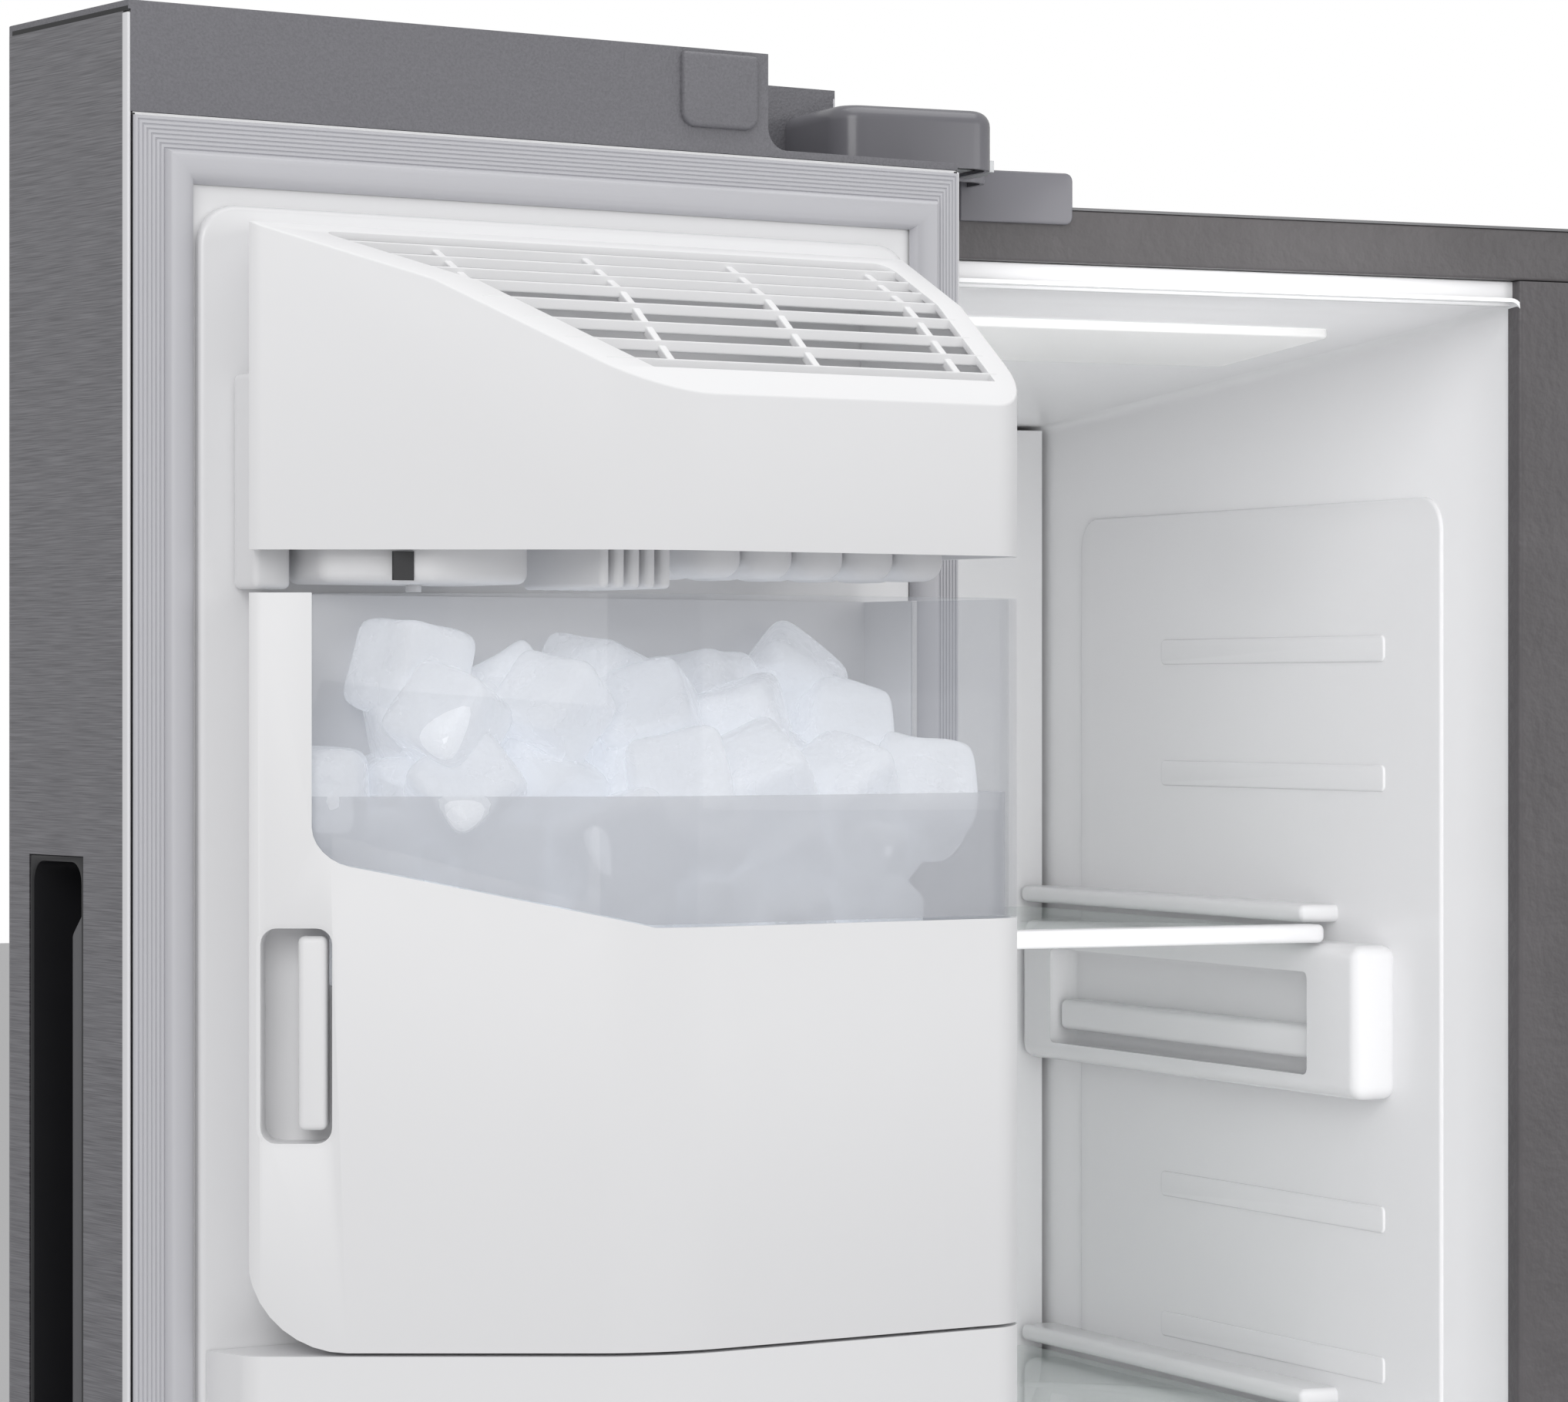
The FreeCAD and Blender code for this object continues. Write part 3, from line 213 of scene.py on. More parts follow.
def iceFinishWithPaintedGlow():
    finish, tree, shader = newFinish("ice", (0.95, 0.96, 0.98), 0.08)
    shader.inputs["Transmission Weight"].default_value = 0.25
    shader.inputs["IOR"].default_value = 1.31
    shader.inputs["Alpha"].default_value = 0.85
    # the faint emission is painted light: it makes the cubes glow so they read brighter inside the dim bucket
    shader.inputs["Emission Color"].default_value = (0.9, 0.94, 1.0, 1)
    shader.inputs["Emission Strength"].default_value = 0.16
    emboss(tree, shader, objectPattern(tree, 110, 4.0), 0.75, 0.0022)
    roughen(tree, shader, objectPattern(tree, 70, 2.0), 0.02, 0.45)
    return finish


def bareMetal(name, colour, rough):
    finish, tree, shader = newFinish(name, colour, rough, 1.0)
    spangle = tree.nodes.new("ShaderNodeTexVoronoi")
    spangle.inputs["Scale"].default_value = 90
    coords = tree.nodes.new("ShaderNodeTexCoord")
    tree.links.new(coords.outputs["Object"], spangle.inputs["Vector"])
    spread = tree.nodes.new("ShaderNodeMapRange")
    spread.inputs["To Min"].default_value = rough * 0.8
    spread.inputs["To Max"].default_value = rough * 1.3
    tree.links.new(spangle.outputs["Distance"], spread.inputs["Value"])
    tree.links.new(spread.outputs["Result"], shader.inputs["Roughness"])
    return finish


def glowingLens():
    finish, tree, shader = newFinish("glowingLens", (0.95, 0.95, 0.94), 0.35)
    shader.inputs["Emission Color"].default_value = (1, 1, 0.99, 1)
    shader.inputs["Emission Strength"].default_value = 0.05
    emboss(tree, shader, objectPattern(tree, 500, 1.0), 0.15, 0.0004)
    return finish


steel = brushedSteel()
hemSteel = mouldedPlastic("hemSteel", (0.80, 0.80, 0.82), 0.25)
casePaint = sheetPaint()
railFinish = railPaint("railPaint", (0.092, 0.086, 0.089))
# the mullion's paint is the rail paint made slightly darker: painted shade on the post between the
# compartments
mullionFinishWithPaintedShade = railPaint("mullionPaintWithPaintedShade", (0.088, 0.082, 0.086))
capGrey = grainedPlastic("capGrey", (0.185, 0.183, 0.20), 0.52)
hingeGrey = mouldedPlastic("hingeGrey", (0.165, 0.163, 0.18), 0.24)
linerWhite = mouldedPlastic("linerWhite", (0.84, 0.84, 0.85), 0.22, 0.05)
satinWhite = mouldedPlastic("satinWhite", (0.82, 0.82, 0.83), 0.42, 0.02, 0.05)
gasketGrey = mouldedPlastic("gasketGrey", (0.56, 0.56, 0.59), 0.5)
darkPlastic = mouldedPlastic("darkPlastic", (0.012, 0.012, 0.014), 0.35)
pocketGrey = mouldedPlastic("pocketGrey", (0.10, 0.10, 0.108), 0.4)
blackGlass = mouldedPlastic("blackGlass", (0.008, 0.008, 0.010), 0.08)
smokedClear = clearPlastic("smokedClear", (0.40, 0.42, 0.47), 0.03, 0.15)
frostedClear = clearPlastic("frostedClear", (0.80, 0.81, 0.84), 0.4, 0.38)
binClear = clearPlastic("binClear", (0.80, 0.83, 0.86), 0.05, 0.28)
shelfGlass = clearPlastic("shelfGlass", (0.74, 0.82, 0.79), 0.02, 0.30)
iceWithPaintedGlow = iceFinishWithPaintedGlow()
zincSheet = bareMetal("zincSheet", (0.55, 0.56, 0.57), 0.38)
coilMetal = bareMetal("coilMetal", (0.75, 0.75, 0.76), 0.3)
blackEnamel = mouldedPlastic("blackEnamel", (0.015, 0.015, 0.016), 0.3)
blackRubber = grainedPlastic("blackRubber", (0.02, 0.02, 0.02), 0.75)
lensWhite = glowingLens()
foamCream = grainedPlastic("foamCream", (0.72, 0.70, 0.62), 0.9)
print("materials made")

finishNodes = (
    (casePaint, ("outer_case",)),
    (railFinish, ("front_rails",)),
    (mullionFinishWithPaintedShade, ("centre_mullion",)),
    (zincSheet, ("base_tray", "back_panel", "hinges", "machine_cover")),
    (foamCream, ("cabinet_foam", "freezer_door_foam", "fridge_door_foam")),
    (linerWhite, ("freezer_liner", "fridge_liner", "shelf_supports", "freezer_door_liner",
        "fridge_door_liner")),
    (capGrey, ("toe_grille", "freezer_door_top_cap", "freezer_door_bottom_cap", "fridge_door_caps")),
    (blackRubber, ("levelling_feet", "rear_rollers")),
    (hingeGrey, ("hinge_covers",)),
    (blackEnamel, ("compressor",)),
    (coilMetal, ("condenser", "evaporator", "bucket_auger")),
    (satinWhite, ("fan_brackets", "duct_covers", "freezer_shelf_frames", "fridge_shelf_frames",
        "icemaker_cover", "icemaker_motor_box", "ice_chute_cover", "ice_bucket", "ice_tray",
        "ice_level_arm", "ice_test_button", "evaporator_fan")),
    (shelfGlass, ("freezer_shelf_glass", "fridge_shelf_glass")),
    (lensWhite, ("interior_lights",)),
    (steel, ("freezer_door_skin", "fridge_door_skin")),
    (gasketGrey, ("freezer_door_gasket", "fridge_door_gasket")),
    (darkPlastic, ("freezer_door_handle", "fridge_door_handle", "dispenser_paddle", "drip_tray",
        "condenser_fan")),
    (binClear, ("freezer_door_bins", "fridge_door_bins", "freezer_drawer_upper", "freezer_drawer_lower",
        "crisper_upper", "crisper_lower")),
    (pocketGrey, ("dispenser_housing",)),
    (blackGlass, ("dispenser_panel",)),
    (smokedClear, ("bucket_window",)),
)


def paint(piece, finish):
    piece.data.materials.clear()
    piece.data.materials.append(finish)


for finish, nodeNames in finishNodes:
    for nodeName in nodeNames:
        paint(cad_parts[nodeName], finish)


# ---- modelling helpers ----
mm = 0.001


def at(x, y, z):
    return Vector((x, y, z)) * mm


def clearSelection():
    if bpy.context.object and bpy.context.object.mode != "OBJECT":
        bpy.ops.object.mode_set(mode="OBJECT")
    bpy.ops.object.select_all(action="DESELECT")


def activate(piece):
    clearSelection()
    piece.select_set(True)
    bpy.context.view_layer.objects.active = piece


def settle(piece):
    # the object's place, turn and size go into its mesh
    activate(piece)
    bpy.ops.object.transform_apply(location=True, rotation=True, scale=True)


def startBox(name, low, high):
    clearSelection()
    middle = [(a + b) / 2 * mm for a, b in zip(low, high)]
    bpy.ops.mesh.primitive_cube_add(size=1, location=middle)
    piece = bpy.context.object
    piece.name = name
    piece.scale = [abs(b - a) * mm for a, b in zip(low, high)]
    settle(piece)
    return piece


def startCylinder(name, radius, depth, middle, turn=(0, 0, 0), vertices=64):
    clearSelection()
    bpy.ops.mesh.primitive_cylinder_add(vertices=vertices, radius=radius * mm, depth=depth * mm,
                                        location=at(*middle), rotation=turn)
    piece = bpy.context.object
    piece.name = name
    settle(piece)
    return piece


def pick(piece, test, kind="FACE"):
    # in edit mode, only the faces or edges that pass the test are selected
    if bpy.context.view_layer.objects.active is not piece or piece.mode != "EDIT":
        activate(piece)
        bpy.ops.object.mode_set(mode="EDIT")
    bpy.ops.mesh.select_mode(type=kind)
    bpy.ops.mesh.select_all(action="DESELECT")
    work = bmesh.from_edit_mesh(piece.data)
    for item in (work.faces if kind == "FACE" else work.edges if kind == "EDGE" else work.verts):
        if test(item):
            item.select_set(True)
    work.select_flush_mode()
    bmesh.update_edit_mesh(piece.data)


def leaveEdit():
    bpy.ops.object.mode_set(mode="OBJECT")


def dropFaces(piece, test):
    pick(piece, test)
    bpy.ops.mesh.delete(type="FACE")
    leaveEdit()


def flipNormals(piece):
    pick(piece, lambda face: True)
    bpy.ops.mesh.flip_normals()
    leaveEdit()


def runsAlong(edge, axis):
    span = edge.verts[1].co - edge.verts[0].co
    return abs(span[axis]) > 0.98 * span.length


def faces(axis, sign):
    def test(face):
        return face.normal[axis] * sign > 0.9
    return test


def lowerRim(z):
    def test(edge):
        return all(vert.co.z < z * mm + 0.001 for vert in edge.verts)
    return test


def upright(edge):
    return runsAlong(edge, 2)


def behind(edge):
    # the upright edges on a door's outer side
    return runsAlong(edge, 2) and edge.verts[0].co.y < -0.05


def roundEdges(piece, test, radius, steps=5):
    pick(piece, test, "EDGE")
    bpy.ops.mesh.bevel(offset=radius * mm, segments=steps, affect="EDGES", clamp_overlap=True)
    leaveEdit()


def addModifier(piece, kind, **values):
    activate(piece)
    modifier = piece.modifiers.new(kind.title(), kind)
    for key, value in values.items():
        setattr(modifier, key, value)
    bpy.ops.object.modifier_apply(modifier=modifier.name)


def soften(piece, radius, steps=3, angle=35):
    addModifier(piece, "BEVEL", width=radius * mm, segments=steps, limit_method="ANGLE",
                angle_limit=math.radians(angle), harden_normals=False)


def smooth(piece, angle=32):
    activate(piece)
    bpy.ops.object.shade_smooth_by_angle(angle=math.radians(angle))


def softBox(name, low, high, radius, steps=3, angle=35):
    piece = startBox(name, low, high)
    soften(piece, radius, steps, angle)
    return piece


def combine(piece, tool, operation):
    addModifier(piece, "BOOLEAN", operation=operation, object=tool, solver="EXACT")
    bpy.data.objects.remove(tool)


def cutAway(piece, *tools):
    for tool in tools:
        combine(piece, tool, "DIFFERENCE")


def join(name, pieces):
    clearSelection()
    for piece in pieces:
        piece.select_set(True)
    bpy.context.view_layer.objects.active = pieces[0]
    bpy.ops.object.join()
    pieces[0].name = name
    return pieces[0]


def cutPlane(piece, point, normal, fill=True):
    pick(piece, lambda item: True)
    bpy.ops.mesh.bisect(plane_co=point, plane_no=normal, use_fill=fill, clear_outer=True)
    leaveEdit()


# Door pieces are modelled across (x), out from the inner plane (y) and up (z), then hung on the open hinge.
freezerDoor = {"name": "freezer", "side": 1, "width": 392, "body": "freezer_door", "bins": (240, 480, 720)}
fridgeDoor = {"name": "fridge", "side": -1, "width": 512, "body": "fridge_door",
              "bins": (240, 520, 800, 1080, 1360)}
pinInset, pinOut, openAngle = 9, 50, 169.3
pins = {1: at(-446.5, -58, 0), -1: at(446.5, -58, 0)}


def hang(piece, door):
    side = door["side"]
    flip = Matrix.Diagonal((side, 1, 1, 1))
    turn = Matrix.Rotation(math.radians(-side * openAngle), 4, "Z")
    shift = Matrix.Translation(at(-pinInset, pinOut, 0))
    piece.matrix_world = Matrix.Translation(pins[side]) @ turn @ flip @ shift
    settle(piece)
    if side < 0:
        flipNormals(piece)


def deliver(name, parts, body, finish, replaces=(), door=None, angle=32):
    # the parts become one piece, hung on its door if it has one, smoothed unless the angle is 0, and
    # given its finish and body
    piece = join(name, parts)
    if door:
        hang(piece, door)
    if angle:
        smooth(piece, angle)
    paint(piece, finish)
    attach(piece, body)
    if replaces:
        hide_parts(*replaces)


# ---- door seals ----
seal = {"edge": 1.9, "low": 99, "high": 1736.6, "start": 1.0, "rib": 1.75, "ribCount": 7}


def makeSeal(door, node):
    low, high = seal["low"], seal["high"]
    clearSelection()
    bpy.ops.mesh.primitive_plane_add(size=1, location=(door["width"] / 2 * mm, 0, (low + high) / 2 * mm),
                                     rotation=(math.radians(90), 0, 0))
    piece = bpy.context.object
    piece.name = node + "Seal"
    piece.scale = ((door["width"] - 2 * seal["edge"]) * mm, (high - low) * mm, 1)
    settle(piece)
    pick(piece, lambda face: True)
    bpy.ops.mesh.flip_normals()
    steps = [(0.01, seal["start"])]
    for number in range(seal["ribCount"]):
        steps += [(0.3, 0.6), (seal["rib"] - 0.85, 0.08), (0.3, -0.5), (0.25, 0.0)]
    steps += [(0.4, 1.5), (0.7, 1.3), (1.1, 0.9), (1.8, 0.5), (2.6, 0.0), (2.2, -0.5), (1.7, -1.0),
              (1.1, -1.4), (0.6, -1.6), (0.4, -1.4)]
    height = 0
    for width, rise in steps:
        rise = min(rise, 6.45 - height)
        height += rise
        bpy.ops.mesh.inset(thickness=width * mm, depth=rise * mm, use_even_offset=True)
    bpy.ops.mesh.delete(type="FACE")
    pick(piece, lambda face: True)
    bpy.ops.mesh.normals_make_consistent(inside=False)
    leaveEdit()
    deliver(piece.name, [piece], door["body"], gasketGrey, (node,), door, 50)


makeSeal(freezerDoor, "freezer_door_gasket")
makeSeal(fridgeDoor, "fridge_door_gasket")
print("seals made")

# ---- ice maker cover ----
bulge = {"low": 52, "high": 358, "flat": 230, "front": 120, "flank": 30, "back": 4.5, "corner": 20,
         "blend": 24, "end": 6, "wall": 2.5}
flankSlope = (bulge["front"] - bulge["flank"]) / (bulge["high"] - bulge["flat"])
flankNormal = Vector((flankSlope, 1, 0)).normalized()
cover = {"low": 1572.5, "roof": ((30, 1696), (70, 1674.5), (108, 1642)), "rim": 13, "frame": 12,
         "openBack": 35, "slats": 8, "slatFirst": 40, "slatLast": 103, "slatWide": 3, "slatTall": 4.4,
         "bars": (78, 146, 214, 282)}
undercut = {"from": (358, 31), "to": (337, 4.5)}


def flankAt(n):
    return bulge["high"] - (n - bulge["flank"]) / flankSlope


def makeBulge(name, low, high, inset=0.0, back=True):
    # the shared plan shape: flat front, slanted flank and rounded upright corners
    piece = startBox(name, (bulge["low"] + inset, bulge["back"] + inset, low),
                     (bulge["high"] - inset, bulge["front"] - inset, high))
    edgePoint = at(bulge["high"], bulge["flank"], 0) - flankNormal * inset * mm
    cutPlane(piece, edgePoint, flankNormal)
    for spot, offset, steps in (((bulge["low"], bulge["front"]), bulge["corner"], 8),
                                ((bulge["flat"], bulge["front"]), bulge["blend"], 8),
                                ((bulge["high"], bulge["flank"]), bulge["end"], 5)):
        def nearSpot(edge):
            middle = (edge.verts[0].co + edge.verts[1].co) / 2 / mm
            return runsAlong(edge, 2) and abs(middle.x - spot[0]) + abs(middle.y - spot[1]) < 12
        roundEdges(piece, nearSpot, offset - inset * 0.6, steps)
    if back:
        (a0, n0), (a1, n1) = undercut["from"], undercut["to"]
        cutPlane(piece, at(a0 - inset, n0, 0), Vector((n0 - n1, a1 - a0, 0)).normalized())
    return piece


def roofHeight(n):
    (n0, z0), (n1, z1), (n2, z2) = cover["roof"]
    return z0 + (z1 - z0) * (n - n0) / (n1 - n0) if n < n1 else z1 + (z2 - z1) * (n - n1) / (n2 - n1)


def openShell(piece, wall, test):
    dropFaces(piece, test)
    addModifier(piece, "SOLIDIFY", thickness=wall * mm, offset=-1, use_even_offset=True)


def makeGrille():
    # slats along the width, joined by short cross bars set a little lower
    bars = []
    step = (cover["slatLast"] - cover["slatFirst"]) / (cover["slats"] - 1)
    for number in range(cover["slats"]):
        n = cover["slatFirst"] + number * step
        top = roofHeight(n) - 0.8
        right = min(bulge["high"] - 14, flankAt(n) - cover["frame"] + 3)
        left, half = bulge["low"] + cover["frame"] - 4, cover["slatWide"] / 2
        bars.append(softBox("slat", (left, n - half, top - cover["slatTall"]), (right, n + half, top), 0.6))
        for across in cover["bars"]:
            if across > right - 12 or number == 0:
                continue
            drop = roofHeight(n - step) - roofHeight(n)
            link = softBox("link", (across - 1.7, -step / 2 - 1, -2), (across + 1.7, step / 2 + 1, 1.6), 0.6)
            link.rotation_euler = (-math.atan2(drop, step), 0, 0)
            link.location = at(0, n - step / 2, top + drop / 2 - 2.8)
            settle(link)
            bars.append(link)
    return bars


def makeIceCover():
    piece = makeBulge("iceMakerCover", cover["low"], 1720)
    points = cover["roof"]
    for (n0, z0), (n1, z1) in zip(points, points[1:]):
        cutPlane(piece, at(0, n0, z0), Vector((0, z0 - z1, n1 - n0)).normalized())
    cutPlane(piece, at(0, 0, points[0][1]), (0, 0, 1))

    def roofRim(edge):
        high = [face.normal.z > 0.5 for face in edge.link_faces]
        away = [abs(face.normal.z) < 0.2 and face.normal.y > -0.3 for face in edge.link_faces]
        return any(high) and any(away)

    roundEdges(piece, roofRim, cover["rim"], 8)
    openShell(piece, bulge["wall"], lambda face: face.normal.z < -0.9 or face.normal.y < -0.9)
    mouth = makeBulge("mouth", 1615, 1720, cover["frame"], False)
    cutPlane(mouth, (0, cover["openBack"] * mm, 0), (0, -1, 0))
    roundEdges(mouth, lambda edge: runsAlong(edge, 2) and edge.verts[0].co.y < 0.04, 7, 5)
    cutAway(piece, mouth)
    soften(piece, 0.8, 3, 50)
    smooth(piece, 30)
    deliver("iceMakerCover", [piece, *makeGrille()], "freezer_door", satinWhite,
            ("icemaker_cover",), freezerDoor, 0)


makeIceCover()
print("ice maker cover made")

# ---- ice bucket ----
bucket = {"low": 1270.3, "top": 1556.3, "windowLow": 1430, "windowRise": 26, "windowLeft": 338,
          "haze": 1479.5, "pane": 3.2, "corner": 38}
grip = {"middle": (343, 41), "wide": 27, "tall": 81, "deep": 20, "low": 1349, "bar": 11}


def windowCutter(name, low):
    cutter = startBox(name, (30, 40, low), (bucket["windowLeft"], 140, 1600))
    rise = bucket["windowRise"]
    run = bucket["windowLeft"] - bulge["flat"]
    cutPlane(cutter, at(bulge["flat"], 0, low), Vector((rise, 0, -run)).normalized())
    roundEdges(cutter, lambda edge: runsAlong(edge, 1) and edge.verts[0].co.x > 0.3
               and edge.verts[0].co.z < 1.5, 12, 6)
    return cutter


def gripBox(name, grow):
    piece = startBox(name, (-grip["wide"] / 2 - grow, -grip["deep"] - grow, -grip["tall"] / 2 - grow),
                     (grip["wide"] / 2 + grow, 6, grip["tall"] / 2 + grow))
    roundEdges(piece, lambda edge: runsAlong(edge, 1), 6 + grow, 5)
    return piece


def toFlank(piece):
    turn = Matrix.Rotation(math.atan2(-flankNormal.x, flankNormal.y), 4, "Z")
    middle = Vector((*grip["middle"], grip["low"] + grip["tall"] / 2)) * mm
    piece.matrix_world = Matrix.Translation(middle) @ turn
    settle(piece)
    return piece


def makeBucket():
    body = makeBulge("iceBucket", bucket["low"], bucket["top"])
    frameBox = startBox("frameBox", (-600, -400, bucket["low"]), (0.2, 60, bucket["top"] + 5))
    roundEdges(frameBox, lambda edge: runsAlong(edge, 1) and edge.verts[0].co.x > -0.1
               and edge.verts[0].co.z < 1.3, bucket["corner"], 9)
    turn = Matrix.Rotation(math.atan2(-flankNormal.x, flankNormal.y), 4, "Z")
    frameBox.matrix_world = Matrix.Translation(at(bulge["high"], bulge["flank"], 0)) @ turn
    settle(frameBox)
    combine(body, frameBox, "INTERSECT")
    openShell(body, bulge["wall"], faces(2, 1))
    cutAway(body, windowCutter("cutter", bucket["windowLow"]), toFlank(gripBox("gripHole", 0)))
    pocket = gripBox("gripPocket", 0.02)
    dropFaces(pocket, faces(1, 1))
    cutPlane(pocket, (0, -0.0004, 0), (0, 1, 0), False)
    addModifier(pocket, "SOLIDIFY", thickness=0.0015, offset=1, use_even_offset=True)
    toFlank(pocket)
    bar = softBox("gripBar", (-grip["wide"] / 2 + 2, -14, -grip["tall"] / 2 + 5),
                  (-grip["wide"] / 2 + 2 + grip["bar"], -0.8, grip["tall"] / 2 - 3), 2.5, 4)
    toFlank(bar)
    soften(body, 0.6, 2, 50)
    deliver("iceBucket", [body, pocket, bar], "ice_bucket", satinWhite, ("ice_bucket",),
            freezerDoor, 30)


def makeWindow():
    # the clear pane, and the frosted band that stands behind its lower part
    panes = (
        ("bucketWindow", bucket["top"] - 0.3, 0.05, bucket["pane"], 0.1, smokedClear, ("bucket_window",)),
        ("bucketHaze", bucket["haze"], 4.2, 1.2, 1, frostedClear, ()))
    for name, high, inset, wall, lift, finish, nodes in panes:
        pane = makeBulge(name, bucket["windowLow"] - 40, high, inset)
        openShell(pane, wall, lambda face: abs(face.normal.z) > 0.9 or face.normal.y < -0.9)
        combine(pane, windowCutter("keep", bucket["windowLow"] + lift), "INTERSECT")
        if nodes:
            soften(pane, 0.4, 2, 50)
        deliver(name, [pane], "ice_bucket", finish, nodes, freezerDoor, 30)


# each layer: its height, where it starts, its pitch, and the number of cubes across and deep
ice = {"seed": 41, "rowFirst": 25, "rowPitch": 30, "left": 78, "flankGap": 37, "sizes": (34, 41), "lump": 2.4,
       "layers": ((1428, 76, 37, 8, 3), (1458, 80, 37, 7, 3), (1484, 86, 39, 7, 3), (1508, 100, 46, 5, 2),
                  (1524, 104, 92, 3, 1))}


def makeCube(place):
    # a rounded, slightly lumpy cube
    clearSelection()
    bpy.ops.mesh.primitive_cube_add(size=random.uniform(*ice["sizes"]) * mm)
    cube = bpy.context.object
    bpy.ops.object.mode_set(mode="EDIT")
    bpy.ops.mesh.subdivide(number_cuts=2)
    bpy.ops.object.mode_set(mode="OBJECT")
    for vertex in cube.data.vertices:
        vertex.co += Vector([random.uniform(-1, 1) for _ in range(3)]) * ice["lump"] * mm
    addModifier(cube, "SUBSURF", levels=2, render_levels=2, subdivision_type="CATMULL_CLARK")
    cube.rotation_euler = [random.uniform(0, math.pi) for _ in range(3)]
    a, n, height = place
    cube.location = at(a, n, height + random.uniform(-7, 7))
    settle(cube)
    return cube


def makeIce():
    random.seed(ice["seed"])
    cubes = []
    for height, start, pitch, across, deep in ice["layers"]:
        for column in range(across):
            for row in range(deep):
                a = start + column * pitch + random.uniform(-5, 5)
                n = ice["rowFirst"] + row * ice["rowPitch"] + random.uniform(-3, 3)
                if ice["left"] <= a <= flankAt(n) - ice["flankGap"]:
                    cubes.append(makeCube((a, n, height)))
    deliver("iceCubes", cubes, "ice_bucket", iceWithPaintedGlow, (), freezerDoor, 60)


chute = {"low": 1120.2, "high": 1269, "flare": 3, "round": 22}


def makeChute():
    piece = makeBulge("iceChuteCover", chute["low"], chute["high"], 0, False)
    pick(piece, lambda vert: vert.co.y < 0.006 and vert.co.x > 0.34, "VERT")
    bpy.ops.transform.translate(value=(chute["flare"] * mm, 0, 0))
    leaveEdit()
    roundEdges(piece, lambda edge: not upright(edge) and edge.verts[0].co.y > 0.02
               and all(vert.co.z < 1.13 for vert in edge.verts), chute["round"], 6)
    openShell(piece, bulge["wall"], faces(1, -1))
    deliver("iceChuteCover", [piece], "freezer_door", satinWhite, ("ice_chute_cover",),
            freezerDoor, 30)


makeBucket()
makeWindow()
makeIce()
makeChute()
print("ice bucket made")

# ---- inner door panels ----
panel = {"low": 129, "high": 1704.5, "inset": 28.6, "rise": 4, "corner": 16, "dike": 39.6, "dikeWidth": 20,
         "hingeInset": 50, "freeInset": 40}


def makePanel(door, node, dikeTop):
    wide = door["width"]
    plateau = startBox("plateau", (panel["inset"], -2.9, panel["low"]),
                       (wide - panel["inset"], panel["rise"], panel["high"]))
    roundEdges(plateau, lambda edge: runsAlong(edge, 1), panel["corner"], 8)
    roundEdges(plateau, lambda edge: all(vert.co.y > 0.003 for vert in edge.verts)
               and sum(face.normal.y > 0.9 for face in edge.link_faces) == 1, 2.4, 4)
    flange = startBox("flange", (2, -2.9, 125.2), (wide - 2, -0.3, 1737.8))
    dikes = [softBox("dike", (low, 0, panel["low"] + 6),
                     (low + panel["dikeWidth"], panel["dike"], dikeTop), 6, 5)
             for low in (panel["hingeInset"], wide - panel["freeInset"] - panel["dikeWidth"])]
    deliver(node + "Panel", [plateau, flange, *dikes], door["body"], linerWhite, (node,),
            door, 30)


makePanel(freezerDoor, "freezer_door_liner", 1099)
makePanel(fridgeDoor, "fridge_door_liner", 1689)
print("door panels made")

# ---- door shells ----
hem = {"wide": 1.5, "deep": 5, "low": 125.2, "step": 1737.4, "high": 1775.5, "gap": 1.5, "back": 96}
cap = {"low": 1738, "high": 1780, "lip": 3.5, "thick": 104, "corner": 7, "pocket": 98, "ledge": 3, "wall": 14,
       "pad": (104, 141), "padLow": 1748, "padLift": 2.6}
handle = {"reach": 32, "near": -81.5, "far": -36.5, "low": 800, "high": 1456, "rim": 2.5, "step": -50,
          "corner": 8}


def makeHems(door):
    wide = door["width"]
    sides = ((-0.15, hem["step"]), (wide - hem["wide"] + 0.15, hem["high"]))
    strips = [softBox("hem", (low, -hem["deep"], hem["low"]), (low + hem["wide"], -0.35, high), 0.6, 4)
              for low, high in sides]
    deliver(door["name"] + "Hems", strips, door["body"], hemSteel, (), door)
    darkJointsAndShadowStrip = []
    for low in (hem["wide"] - 0.1, wide - hem["wide"] - hem["gap"] + 0.1):
        darkJointsAndShadowStrip.append(startBox("darkStrip", (low, -2.5, hem["low"]), (low + hem["gap"], -0.25, hem["step"])))
    # the dark strip along the top of the outer side, under the cap's lid, is painted shadow
    darkJointsAndShadowStrip.append(startBox("darkStrip", (wide - 0.9, -hem["back"], hem["high"] + 0.4),
                          (wide + 0.02, -0.5, hem["high"] + 2.2)))
    deliver(door["name"] + "DarkJointsAndShadowStrip", darkJointsAndShadowStrip, door["body"], darkPlastic, (), door, 0)


